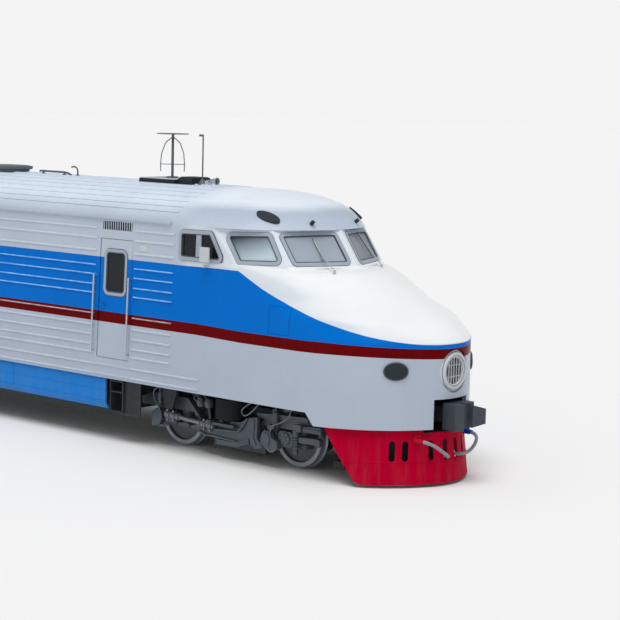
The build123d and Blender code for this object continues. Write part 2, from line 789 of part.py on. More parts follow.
crew_x = front_pivot + crew_door_centre
crew_leaf, crew_ring, crew_pane = door_leaf(crew_x, 2400, 3160, 273, swing_gap)
handle = rod((crew_x - 300, wall_y(2240) - 1, 2240), (crew_x - 300, wall_y(2240) + 46, 2240), 12)
handle += block(crew_x - 312, crew_x - 190, wall_y(2240) + 36, wall_y(2240) + 58, 2228, 2252)
crew_leaf = crew_leaf + handle
for fixed, moving in crew_hinges():
    crew_leaf += moving
save("crew_door_left", crew_leaf)
save("crew_door_right", mirrored(crew_leaf))
save("crew_door_glass_left", crew_ring + crew_pane)
save("crew_door_glass_right", mirrored(crew_ring + crew_pane))
entry_leaf, entry_ring, entry_pane = door_leaf(entry_door_centre, 2250, 3100, 230, door_gap)
# Hanger over the inner face of the wall above each entry door
low, step_z, high = door_top - 70, door_top - door_gap, door_top + 60
entry_leaf += cross_prism(
    [(wall_y(low) - door_thickness, low), (wall_y(step_z) - door_thickness, step_z), (wall_y(step_z) - wall, step_z),
     (wall_y(high) - wall, high), (wall_y(high) - wall - 40, high), (wall_y(low) - wall - 40, low)],
    entry_door_centre - 250, entry_door_centre + 250,
)
save("entry_doors", *both_sides([entry_leaf]))
save("entry_door_glass", *both_sides([entry_ring + entry_pane]))

# Inside: cab floor, bulkheads, desk and seats, as far as they show through the glass
cab_floor_top = 2120.0
cab_rear = front_pivot - 950
inner = floor_half - 10
cab_floor = block(cab_rear, nose_x + 80, -wall_y(cab_floor_top, wall) + 20, wall_y(cab_floor_top, wall) - 20, cab_floor_top - 60, cab_floor_top)
cab_floor += block(nose_x + 80, front_pivot + 1700, 315 - half_width, half_width - 315, cab_floor_top - 60, cab_floor_top)
for x in (cab_rear + 20, front_pivot + 620):
    cab_floor += block(x, x + 60, -1200, 1200, floor_top if x < floor_front else floor_bottom, cab_floor_top - 60)
save("cab_floor", cab_floor)


def bulkhead(x, opening_half, foot):
    """A partition as wide as the inside, with a door opening in it."""
    outline = [
        (wall_y(foot, wall) - 6, foot), (half_width - wall - 6, lean_start), (gutter_y - wall - 6, gutter_height - 6),
        (-gutter_y + wall + 6, gutter_height - 6), (-half_width + wall + 6, lean_start), (-wall_y(foot, wall) + 6, foot),
    ]
    panel = cross_prism(outline, x, x + 40)
    return panel - block(x - 10, x + 50, -opening_half, opening_half, foot - 1, foot + 1950)


save(
    "bulkheads",
    bulkhead(cab_rear - 60, 330, floor_top), bulkhead(front_pivot - 2900, 400, floor_top),
    bulkhead(entry_door_centre + 700, 400, floor_top),
)

desk = side_prism(
    [(front_pivot + 1040, cab_floor_top), (front_pivot + 1250, 2860), (front_pivot + 1130, 3000),
     (front_pivot + 700, 2830), (front_pivot + 700, 2760), (front_pivot + 900, 2740), (front_pivot + 760, cab_floor_top)],
    -960, 960,
)
save("driver_desk", desk)


def seat(x, y, floor, height, depth, width, facing):
    """A seat seen from the side: pedestal, cushion and leaning back, as one upholstered form."""
    f = facing
    outline = [
        (x - 0.20 * depth * f, floor), (x + 0.20 * depth * f, floor), (x + 0.16 * depth * f, floor + 0.30 * height),
        (x + 0.50 * depth * f, floor + 0.33 * height), (x + 0.48 * depth * f, floor + 0.44 * height),
        (x - 0.26 * depth * f, floor + 0.40 * height), (x - 0.48 * depth * f, floor + height),
        (x - 0.66 * depth * f, floor + 0.98 * height), (x - 0.44 * depth * f, floor + 0.30 * height),
        (x - 0.16 * depth * f, floor + 0.30 * height),
    ]
    return side_prism(outline, y - width / 2, y + width / 2)


cab_seats = [seat(front_pivot + 250, y, cab_floor_top, 1050, 560, 520, 1) for y in (-560, 560)]
save("driver_seats", *cab_seats)
saloon_seats = []
for x in window_centres():
    for offset in (-470, 470):
        for y in (-870, 870):
            saloon_seats.append(seat(x + offset, y, floor_top, 1120, 560, 1020, 1))
save("saloon_seats", *saloon_seats)

# Round lamp with its ring, lens and upright bars
lamp_x = front_pivot + 3455
ring = rod((lamp_x - 60, 0, lamp_height), (lamp_x + 76, 0, lamp_height), lamp_radius)
ring = chamfer(ring.faces().sort_by(Axis.X)[-1].edges(), 24)
collar = rod((lamp_x - 30, 0, lamp_height), (lamp_x + 112, 0, lamp_height), lamp_collar)
ring += chamfer(collar.faces().sort_by(Axis.X)[-1].edges(), 16)
ring -= rod((lamp_x - 20, 0, lamp_height), (lamp_x + 200, 0, lamp_height), lamp_mouth)
for i in range(-3, 4):
    y = i * 62.0
    reach = math.sqrt((lamp_mouth + 4) ** 2 - y**2)
    ring += block(lamp_x + 70, lamp_x + 80, y - 6, y + 6, lamp_height - reach, lamp_height + reach)
for dz in (-85, 85):
    reach = math.sqrt((lamp_mouth + 4) ** 2 - dz**2)
    ring += block(lamp_x + 66, lamp_x + 71, -reach, reach, lamp_height + dz - 5, lamp_height + dz + 5)
save("round_headlamp", ring)

marker = oval_bar(*marker_plan, marker_height, marker_turn, marker_width, marker_tall, 14)


def dome_place(turn, height):
    """The point of the dome at a height whose outward face looks a turn from +X, and its upward tilt."""
    side = math.radians(turn)
    outward = Vector(math.cos(side), math.sin(side))
    places = []
    for z in (height - 15, height + 15):
        wide, centre_x, small, turn_x = dome_plan(z, 0.0)
        turn_y, turn_radius, join = plan_arcs(wide, centre_x, small, turn_x)
        if abs(side) < abs(math.atan2(join.Y, join.X - centre_x)):
            places.append(Vector(centre_x, 0) + outward * small)
        else:
            places.append(Vector(turn_x, turn_y) + outward * turn_radius)
    middle = (places[0] + places[1]) / 2
    drop = (places[0] - places[1]).dot(outward)
    return middle.X, middle.Y, height, math.degrees(math.atan2(drop, 30.0))


# Lamps on the dome: a large oval and a small eye. Columns: turn, height, width, tallness, depth, roll
dome_lamps = [(-49.0, 3830.0, 400.0, 170.0, 24.0, -27.0), (-20.0, 3738.0, 70.0, 60.0, 60.0, 0.0)]
high_lamps = []
for turn, height, wide, tall, deep, roll in dome_lamps:
    x, y, z, tilt = dome_place(turn, height)
    lamp = oval_bar(x, y, z, turn, wide, tall, deep, tilt, roll) - dome_solid(0.0)
    high_lamps.append(max(lamp.solids(), key=lambda s: s.volume))
save("marker_lamps", *both_sides([marker, *high_lamps]))

# Pilot under the nose: a thin curved plough with slots
pilot_top = nose_bottom - 10
pilot_foot = 85.0
pilot_skin = 24.0
pilot_lean = 80.0
pilot_outer = Solid.make_loft(
    [nose_outline(nose_levels[0], 0.0, pilot_foot), nose_outline(nose_levels[0], pilot_lean, pilot_top)], ruled=True
)
pilot_inner = Solid.make_loft(
    [
        nose_outline(nose_levels[0], pilot_skin, pilot_foot),
        nose_outline(nose_levels[0], pilot_lean + pilot_skin, pilot_top),
    ],
    ruled=True,
)
pilot = pilot_outer - pilot_inner
pilot -= side_prism(
    [(nose_x - 10, 0), (front_pivot + 2720, 0), (front_pivot + 2720, pilot_foot), (front_pivot + 2230, pilot_top),
     (front_pivot + 2230, pilot_top + 20), (nose_x - 10, pilot_top + 20)],
    -half_width - 50, half_width + 50,
)
pilot -= block(front_pivot + 3000, front_pivot + 3700, -470, 470, 800, pilot_top + 20)
# Slots. Columns: angle round the tip from straight ahead
slot_low, slot_high, slot_width = 390.0, 690.0, 90.0
slot_angles = [-61.0, -50.0, -24.5, -8.0, 8.0, 24.5, 50.0, 61.0]
turn_centre = front_pivot + 2620
for angle in slot_angles:
    turn = Pos(turn_centre, 0, 0) * Rot(0, 0, angle)
    core = turn * block(500, 1300, -slot_width / 2, slot_width / 2, slot_low + slot_width / 2, slot_high - slot_width / 2)
    for z in (slot_low + slot_width / 2, slot_high - slot_width / 2):
        core += turn * rod((500, 0, z), (1300, 0, z), slot_width / 2)
    pilot -= core
for side in (-1, 1):
    y = side * beam_half
    pilot += block(front_pivot + 2890, front_pivot + 2950, y - 60, y + 60, 500, beam_bottom)
    pilot += block(front_pivot + 2890, front_pivot + 3500, y - 8, y + 8, 705, 785)
pilot = pilot & (pilot_outer + block(front_pivot + 2880, front_pivot + 2960, -500, 500, 480, beam_bottom))
cock_radius = 37.0
cock_y = 600.0
cock_height = 700.0
for side in (-1, 1):
    y = side * cock_y
    pilot -= rod((front_pivot + 3000, y, cock_height), (front_pivot + 3700, y, cock_height), cock_radius)
save("pilot", pilot)

# Couplers. Plan of the head, measured from the coupling plane, forward and left
coupler_height = 1045.0
coupling_plane = coupled_length / 2
head_half = 192.0
head_outline = [
    (-420, -110), (-340, -235), (-88, -265), (-13, -140), (-60, -95), (-180, -70), (-210, 20),
    (-130, 80), (-38, 100), (72, 275), (-300, 275), (-420, 110),
]
# Slope over and under the large tooth. Columns: across, height over the middle
tooth_slope = [(90.0, 172.0), (285.0, 109.0), (285.0, 260.0), (90.0, 260.0)]


def coupler(facing):
    """Automatic coupler: a head with a small and a large tooth, a shank, a collar and its end plate."""
    outline = [(coupling_plane + x, y) for x, y in head_outline]
    head = plan_prism(outline, coupler_height - head_half, coupler_height + head_half)
    for up in (-1, 1):
        slope = [(y, coupler_height + up * z) for y, z in tooth_slope]
        head -= cross_prism(slope, coupling_plane - 150, coupling_plane + 150)
    shank = block(coupling_plane - 1500, coupling_plane - 400, -90, 90, coupler_height - 110, coupler_height + 110)
    collar = block(coupling_plane - 1120, coupling_plane - 1060, -250, 250, coupler_height - 160, coupler_height + 160)
    tail_half = beam_half - beam_width / 2
    tail = block(coupling_plane - 1500, coupling_plane - 1420, -tail_half, tail_half, coupler_height - 110, coupler_height + 130)
    whole = head + shank + collar + tail
    return whole if facing > 0 else Rot(0, 0, 180) * whole


save("couplers", coupler(1), coupler(-1))

# Brake hoses beside the couplers, each a cock and a hose that loops down to its coupling head.
# Columns of the route: forward of the front pivot, across, height
hose_radius = 26.0
hose_points = [
    (3430.0, cock_y, cock_height), (3520.0, 590.0, 694.0), (3630.0, 510.0, 640.0), (3672.0, 370.0, 540.0),
    (3660.0, 230.0, 462.0), (3560.0, 132.0, 438.0), (3420.0, 113.0, 436.0),
]


def hose_route(side, facing):
    end = coupled_length / 2 - front_overhang if facing > 0 else coupled_length / 2 - rear_overhang
    return [((end + x) * facing, side * y * facing, z) for x, y, z in hose_points]


def hose(side, facing):
    points = [Vector(*p) for p in hose_route(side, facing)]
    radii = []
    for i in range(1, len(points) - 1):
        a, b = points[i] - points[i - 1], points[i + 1] - points[i]
        turn = math.radians(a.get_angle(b))
        radii.append(0.45 * min(a.length, b.length) / math.tan(turn / 2))
    path = FilletPolyline(*points, radius=radii)
    start = Plane(origin=path @ 0, z_dir=path % 0)
    tube = sweep(start * Circle(hose_radius), path=path)
    return tube


def hose_with_cock(side, facing):
    """One solid: the pipe from the beam, the cock with its lever, the hose and its coupling head."""
    route = hose_route(side, facing)
    x, y, z = route[0]
    f = facing
    back = x - 510 * f
    whole = hose(side, facing) + rod((back, y, z), (x + 6 * f, y, z), cock_radius - fit_gap)
    whole += block(x - 60 * f, x - 10 * f, y - 14, y + 14, z + 20, z + 88)
    whole += rod((back, y, z - 24), (back, y, beam_bottom + 50), 24)
    beam_face = math.copysign(beam_half + beam_width / 2, y)
    whole += block(back - 30, back + 30, beam_face, y, beam_bottom + 10, beam_bottom + 50)
    end_x, end_y, end_z = route[-1]
    whole += block(end_x - 40, end_x + 40, end_y - 38, end_y + 38, end_z - 38, end_z + 38)
    return whole


save("brake_hoses", *(hose_with_cock(side, facing) for facing in (1, -1) for side in (-1, 1)))

# Handrails, mirrors and wipers
seat_gap = 0.7
rails = []
for x in (crew_x - 450, crew_x + 370):
    low, high = 1470.0, 2730.0
    rail = rod((x, half_width + 62, low), (x, wall_y(high) + 62, high), 15)
    for z in (low + 20, high - 20):
        rail += rod((x, wall_y(z) + seat_gap, z), (x, wall_y(z) + 64, z), 11)
    rails.append(rail)
save("handrails", *both_sides(rails))

mirror_x = front_pivot - 82
mirror_y = half_width + 35
mirror_plate = block(mirror_x - 97, mirror_x + 97, mirror_y, mirror_y + 25, 3115, 3345)
mirror_plate += rod((mirror_x - 20, mirror_y + 12, 3120), (mirror_x - 20, mirror_y + 12, 3040), 12)
mirror_plate += rod((mirror_x - 20, wall_y(3042) + seat_gap, 3042), (mirror_x - 20, mirror_y + 22, 3042), 14)
save("mirrors", *both_sides([mirror_plate]))

# Wipers, both leaning the same way. Columns: pivot, elbow, foot and top of the blade, ahead of the front pivot
wiper_routes = [
    [(1733.0, -662.0, 3070.0), (1274.0, -528.0, 3344.0), (1369.0, -532.0, 3209.0), (1158.0, -529.0, 3507.0)],
    [(1646.0, 566.0, 3085.0), (1187.0, 700.0, 3368.0), (1293.0, 715.0, 3211.0), (1102.0, 580.0, 3557.0)],
]
wiper_lift = 34.0


def wiper(route):
    """Pivot on the hood, an arm up to the pane and a blade lying just off the glass."""
    front, shoulder = (Vector(x, math.copysign(y, route[1][1])) for x, y in house_foot[:2])
    outward = (shoulder - front).cross(Vector(0, 0, 1)).normalized()
    outward = outward if outward.X > 0 else outward * -1
    pivot, elbow, low, top = (Vector(front_pivot + x, y, z) for x, y, z in route)
    elbow, low, top = (p + outward * wiper_lift for p in (elbow, low, top))
    whole = rod(tuple(pivot), tuple(elbow), 9) + rod(tuple(low), tuple(top), 8)
    return whole + rod(tuple(pivot - Vector(0, 0, 160)), tuple(pivot + Vector(0, 0, 14)), 22)


wiper_pair = [wiper(route) - hood_loft(0.0) for route in wiper_routes]
save("wipers", *(max(one.solids(), key=lambda s: s.volume) for one in wiper_pair))

# Roof gear over the front of the car
antenna_x = front_pivot - 2460
base_top = 4275.0
cover_outline = [(-240, 4160), (240, 4160), (240, 4262), (150, 4312), (-150, 4312), (-240, 4262)]
antenna_base = block(antenna_x - 470, antenna_x + 355, -320, 320, 4150, base_top)
antenna_base = chamfer(antenna_base.faces().sort_by(Axis.Z)[-1].edges(), 22) - roof_tube(rear_end, dome_x, 0.0)
cover = cross_prism(cover_outline, antenna_x + 360, antenna_x + 700) - roof_tube(rear_end, dome_x, 0.0)
for offset in roof_rib_offsets:
    antenna_base -= roof_rib(offset)
    antenna_base -= roof_rib(-offset)
    cover -= roof_rib(offset)
    cover -= roof_rib(-offset)
save("roof_boxes", antenna_base, cover)

mast_x = antenna_x
mast_top = 5015.0
cage_levels = [(20.0, 4945.0), (120.0, 4860.0), (185.0, 4680.0), (200.0, 4500.0), (195.0, 4380.0)]
mast = rod((mast_x, 0, base_top), (mast_x, 0, mast_top), 22)
mast += rod((mast_x, 0, base_top), (mast_x, 0, base_top + 22), 100)
mast += rod((mast_x, 0, mast_top - 14), (mast_x, 0, mast_top), 268)
for i in range(4):
    a = math.radians(45 + 90 * i)
    points = [(mast_x + r * math.cos(a), r * math.sin(a), z) for r, z in cage_levels]
    path = FilletPolyline(*(Vector(*p) for p in points), radius=120)
    mast += sweep(Plane(origin=path @ 0, z_dir=path % 0) * Circle(8), path=path)
    mast += rod((mast_x, 0, cage_levels[3][1]), points[3], 6)
whip_x = front_pivot - 1650
whip_y = -100.0
whip_foot = 4175.0
whip = rod((whip_x, whip_y, whip_foot), (whip_x, whip_y, 5020), 12)
whip += Pos(whip_x, whip_y, whip_foot) * Cone(92, 30, 110, align=(Align.CENTER, Align.CENTER, Align.MIN))
whip += block(whip_x - 90, whip_x, whip_y - 4, whip_y + 4, 4985, 5020)
whip -= roof_tube(rear_end, dome_x, 0.0)
for offset in roof_rib_offsets[:2]:
    whip -= roof_rib(-offset)
save("roof_antennas", mast, whip)

horn_x = front_pivot - 1310


def horn(y, length):
    throat = (horn_x - length, y, 4262)
    mouth = Plane(origin=(horn_x, y, 4268), z_dir=(-1, 0, 0))
    bell = mouth * Cone(62, 20, 170, align=(Align.CENTER, Align.CENTER, Align.MIN))
    bell -= mouth * Cone(54, 12, 160, align=(Align.CENTER, Align.CENTER, Align.MIN))
    stem = rod(throat, (horn_x - 164, y, 4268), 16)
    return bell + stem


horns = horn(-100, 250) + block(horn_x - 250, horn_x - 170, -140, -60, 4150, 4264)
horns -= roof_tube(rear_end, dome_x, 0.0)
for offset in roof_rib_offsets[:2]:
    horns -= roof_rib(-offset)
save("air_horns", horns)

# Skirts and underfloor equipment on the right side, and their mirror images
skirt_front = front_pivot - 2380
skirt_rear = rear_pivot + 2380
skirt_drop = 520.0
skirt_panel_length = 2300.0
skirt_count = int((skirt_front - skirt_rear) // skirt_panel_length)
skirt_pitch = (skirt_front - skirt_rear) / skirt_count
skirt_y = half_width - 45
skirt_mouldings = [680.0, 855.0, 1008.0]
moulded = []
for z in skirt_mouldings:
    moulded += [(skirt_y, z - 14), (skirt_y + 8, z - 6), (skirt_y + 8, z + 6), (skirt_y, z + 14)]
skirts = []
for i in range(skirt_count):
    x0 = skirt_rear + i * skirt_pitch
    section = [*moulded, (skirt_y, sill_bottom - 0.3), (skirt_y - 30, sill_bottom - 0.3), (skirt_y - 30, sill_bottom - skirt_drop + 90),
        (skirt_y - 100, sill_bottom - skirt_drop), (skirt_y - 70, sill_bottom - skirt_drop),
        (skirt_y, sill_bottom - skirt_drop + 90),
    ]
    skirts.append(cross_prism(section, x0 + 4, x0 + skirt_pitch - 4))
save("skirt_panels", *both_sides(skirts))

# Underfloor boxes. Columns: pivot, rear end and front end from it, right and left face, foot, all hung from the beams
equipment = [
    (rear_pivot, 3000.0, 4900.0, -1330.0, -500.0, 520.0),
    (rear_pivot, 5200.0, 6700.0, -1330.0, 1330.0, 480.0),
    (front_pivot, -9200.0, -7300.0, -1330.0, 1330.0, 460.0),
    (front_pivot, -7000.0, -5800.0, -1330.0, -300.0, 520.0),
    (front_pivot, -4500.0, -2500.0, -1330.0, 1330.0, 430.0),
]
boxes = []
for pivot, x0, x1, y0, y1, foot in equipment:
    x0, x1 = pivot + x0, pivot + x1
    box = block(x0, x1, y0, y1, foot, beam_bottom - 20)
    box = chamfer(box.edges().filter_by(Axis.X).sort_by(Axis.Z)[:2], 40)
    under_beams = [y for y in (-beam_half, beam_half) if y0 < y < y1]
    hanger_top = beam_bottom if under_beams else floor_bottom
    for y in under_beams or [y0 + 120, y1 - 120]:
        for x in (x0 + 140, x1 - 240):
            box += block(x - 40, x + 40, y - 40, y + 40, beam_bottom - 30, hanger_top)
    boxes.append(box)
save("underfloor_boxes", *boxes)

# Air tanks. Columns: pivot, rear end and front end from it, place across
tank_places = [
    (front_pivot, -5650.0, -4650.0, -900.0), (front_pivot, -5650.0, -4650.0, 900.0), (rear_pivot, 3100.0, 4800.0, 900.0),
]
tanks = []
for pivot, x0, x1, y in tank_places:
    x0, x1 = pivot + x0, pivot + x1
    tank = rod((x0, y, 800), (x1, y, 800), 190)
    tank = chamfer(tank.edges().filter_by(GeomType.CIRCLE), 45)
    for x in (x0 + 350, x1 - 300):
        tank += block(x, x + 40, y - 120, y + 120, 960, floor_bottom)
    tanks.append(tank)
save("air_tanks", *tanks)

# Step frame behind the skirt by the crew door and the receiver coils ahead of the first wheels
step_out, step_in = 20 - skirt_y, 230 - skirt_y
step = block(front_pivot - 1990, front_pivot - 1620, step_out + 40, step_out + 56, 470, 1040)
for x in (-2310.0, -2016.0):
    step += block(front_pivot + x, front_pivot + x + 26, step_out + 5, step_in, 500, 1050)
for z in (500.0, 825.0, 1000.0):
    step += block(front_pivot - 2310, front_pivot - 1990, step_out, step_in - 60, z, z + 22)
save("crew_steps", *both_sides([step]))

coils = []
for y in (-790, 790):
    coil = block(front_pivot + 2050, front_pivot + 2250, y - 150, y + 150, 150, 260)
    for dx in (2080, 2200):
        coil += block(front_pivot + dx, front_pivot + dx + 40, y - 25, y + 25, 260, 900)
    coil += block(front_pivot + 2000, front_pivot + 2260, y - 60, y + 60, 880, beam_bottom)
    coils.append(coil)
save("receiver_coils", *coils)

# Bogies, drawn about their own centre and set under each pivot
frame_y = 1030.0
frame_width = 150.0
frame_half = [
    (0, 360), (520, 360), (760, 640), (1450, 640), (1950, 640), (1950, 760), (1700, 850), (900, 850),
    (560, 540), (0, 540),
]
transom_x = 330.0
damper_x = (-1470.0, 1065.0)
box_half = 150.0
wing_reach = 400.0
spring_radius = 78.0
spring_offset = 290.0
wing_top = 440.0
frame_under = 640.0


def pivot_set(pivot, shapes):
    turn = Rot(0, 0, 180) if pivot < 0 else Rot(0, 0, 0)
    return [Pos(pivot, 0, 0) * turn * shape for shape in shapes]


def bogie_frame():
    """Two side beams dropped in the middle, two transoms and the pivot block between them."""
    outline = [*frame_half, *((-x, z) for x, z in reversed(frame_half[1:-1]))]
    frame = side_prism(outline, frame_y - frame_width / 2, frame_y + frame_width / 2)
    frame += mirrored(frame)
    for x in (-transom_x, transom_x):
        frame += disc_y(x, 450, 85, -frame_y, frame_y)
    frame += block(-transom_x, transom_x, -230, 230, 560, 700)
    for x in (-transom_x, transom_x):
        frame += block(x - 60, x + 60, -230, 230, 450, 640)
    frame -= rod((0, 0, 400), (0, 0, 800), pin_radius + fit_gap)
    for side in (-1, 1):
        frame += block(-230, 230, side * frame_y - 200, side * frame_y + 200, 530, 570)
    for x in (-1950, 1950):
        frame += disc_y(x, 700, 50, -frame_y, frame_y)
    return frame


def axle_boxes():
    """Bearing boxes with spring wings, one solid each, bored for the journals."""
    parts = []
    for x in (-wheelbase / 2, wheelbase / 2):
        for side in (-1, 1):
            y0, y1 = sorted((side * 905, side * (journal_reach + 40)))
            box = block(x - box_half, x + box_half, y0, y1, axle_height - 130, axle_height + 110)
            box = chamfer(box.edges().filter_by(Axis.Y), 45)
            box += block(x - wing_reach, x + wing_reach, y0 + 30, y1 - 30, wing_top - 60, wing_top)
            bore_from, bore_to = sorted((side * 900, side * (journal_reach + 5)))
            box -= disc_y(x, axle_height, journal_diameter / 2 + fit_gap, bore_from, bore_to)
            for dx in (-spring_offset, spring_offset):
                y = side * frame_y
                box += rod((x + dx, y, wing_top), (x + dx, y, frame_under), spring_radius)
            parts.append(box)
    return parts


def air_springs():
    """Bellows between each side beam and the pad above it."""
    parts = []
    for side in (-1, 1):
        y = side * pad_y
        bellows_part = rod((0, y, 570), (0, y, 640), 150)
        bellows_part += rod((0, y, 640), (0, y, 960), 270)
        bellows_part = bellows_part + rod((0, y, 960), (0, y, pad_foot - slide_gap), 190)
        parts.append(bellows_part)
    return parts


def magnet_brakes():
    parts = []
    for side in (-1, 1):
        y = side * 785
        shoe = block(-560, 560, y - 45, y + 45, 115, 235)
        for x in (-450, 450):
            shoe += block(x - 25, x + 25, y - 30, y + 30, 235, 420)
            face = side * (frame_y - frame_width / 2)
            shoe += block(x - 25, x + 25, min(y, face), max(y, face), 370, 420)
        parts.append(shoe)
    return parts


def disc_calipers():
    parts = []
    for x in (-1, 1):
        for y in (-350, 350):
            caliper = block(x * 395, x * 660, y - 150, y + 150, 470, 640)
            caliper -= block(x * 560, x * 700, y - 70, y + 70, 400, 700)
            caliper -= rod((x * transom_x, y - 200, 450), (x * transom_x, y + 200, 450), 85.3)
            for arm in (-105, 105):
                caliper += block(x * 650, x * 900, y + arm - 22, y + arm + 22, 490, 570)
            parts.append(caliper)
    return parts


def traction_rods():
    """A bright rod low on each side from the frame's middle towards the body bracket."""
    parts = []
    for side in (-1, 1):
        y = side * 1200
        link = rod((-1120, y, 545), (-320, y, 530), 32)
        link += disc_y(-1140, 545, 62, y - 45, y + 45)
        link += disc_y(-310, 530, 62, y - 45, y + 45)
        face = side * (frame_y + frame_width / 2)
        link += block(-360, -260, min(face, y), max(face, y), 430, 590)
        parts.append(link)
    return parts


def dampers():
    parts = []
    for side in (-1, 1):
        for x in damper_x:
            y = side * 1165
            damper = rod((x, y, 700), (x, y, 880), 42)
            damper += rod((x, y, 880), (x, y, sill_bottom - 40), 22)
            face = side * (frame_y + frame_width / 2)
            damper += block(x - 40, x + 40, min(face, y), max(face, y), 660, 730)
            parts.append(damper)
    return parts


def wheelset(x):
    """Axle, two flanged wheels and two brake discs, turned as one profile about the axle."""
    tread = tread_diameter / 2
    inner_face = back_to_back / 2
    outer_face = inner_face + rim_width
    half = [
        (0, 0), (axle_diameter / 2, 0), (axle_diameter / 2, 290), (310, 290), (310, 400), (axle_diameter / 2, 400),
        (axle_diameter / 2, inner_face - 20), (125, inner_face - 20), (125, inner_face + 40),
        (tread - 80, inner_face + 40), (tread - 70, inner_face), (tread + flange_height - 12, inner_face),
        (tread + flange_height, inner_face + 12), (tread, inner_face + flange_width),
        (tread - 5, outer_face), (tread - 70, outer_face), (tread - 85, inner_face + 85),
        (125, inner_face + 85), (120, outer_face + 25), (journal_diameter / 2, outer_face + 30),
        (journal_diameter / 2, journal_reach), (0, journal_reach),
    ]
    full = [*half, *((r, -y) for r, y in reversed(half[1:-1]))]
    full = [(r, y) for r, y in half[1:]] + [(0, -journal_reach)] + [(r, -y) for r, y in reversed(half[2:-1])]
    face = make_face(Polyline(*full, close=True))
    turned = revolve(face, Axis.Y, 360)
    return Pos(x, 0, axle_height) * turned


for pivot, name in ((front_pivot, "front"), (rear_pivot, "rear")):
    save(f"bogie_frame_{name}", *pivot_set(pivot, [bogie_frame()]))
    save(f"axle_boxes_{name}", *pivot_set(pivot, axle_boxes()))
    save(f"air_springs_{name}", *pivot_set(pivot, air_springs()))
    save(f"brake_gear_{name}", *pivot_set(pivot, [*magnet_brakes(), *disc_calipers()]))
    save(f"rods_and_dampers_{name}", *pivot_set(pivot, [*traction_rods(), *dampers()]))

axle_places = [pivot + side * wheelbase / 2 for pivot in (front_pivot, rear_pivot) for side in (1, -1)]
for number, place in enumerate(axle_places, start=1):
    save(f"wheelset_{number}", wheelset(place))
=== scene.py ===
import math

import bmesh
import bpy
from mathutils import Matrix, Vector


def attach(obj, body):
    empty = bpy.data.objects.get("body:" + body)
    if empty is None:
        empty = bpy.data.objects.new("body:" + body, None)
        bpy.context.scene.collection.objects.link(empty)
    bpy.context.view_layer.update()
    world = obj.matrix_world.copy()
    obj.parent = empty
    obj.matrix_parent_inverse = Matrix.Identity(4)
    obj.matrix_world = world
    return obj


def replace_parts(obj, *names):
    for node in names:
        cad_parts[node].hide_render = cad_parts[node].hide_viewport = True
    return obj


# Head car of an electric multiple unit. Metres, +X to the nose, +Y to the car's left, +Z up.
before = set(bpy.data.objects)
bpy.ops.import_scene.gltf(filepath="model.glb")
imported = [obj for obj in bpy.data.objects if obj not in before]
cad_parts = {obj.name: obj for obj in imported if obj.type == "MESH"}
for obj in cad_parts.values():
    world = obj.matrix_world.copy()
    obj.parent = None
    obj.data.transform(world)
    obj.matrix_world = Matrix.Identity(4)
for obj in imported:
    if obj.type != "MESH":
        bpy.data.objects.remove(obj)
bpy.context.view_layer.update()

PIVOT = 9.4
REAR_END = -13.018
WHEELBASE = 2.5
AXLE_Z = 0.503
GUTTER = 3.645
GLASS_FOOT = 3.11
LEAN_START = 1.42
WALL_LEAN = 0.04
HALF_WIDTH = 1.565


def wall_y(z):
    """Outer face of the side wall at a height."""
    return HALF_WIDTH - WALL_LEAN * max(z - LEAN_START, 0.0)


# Materials


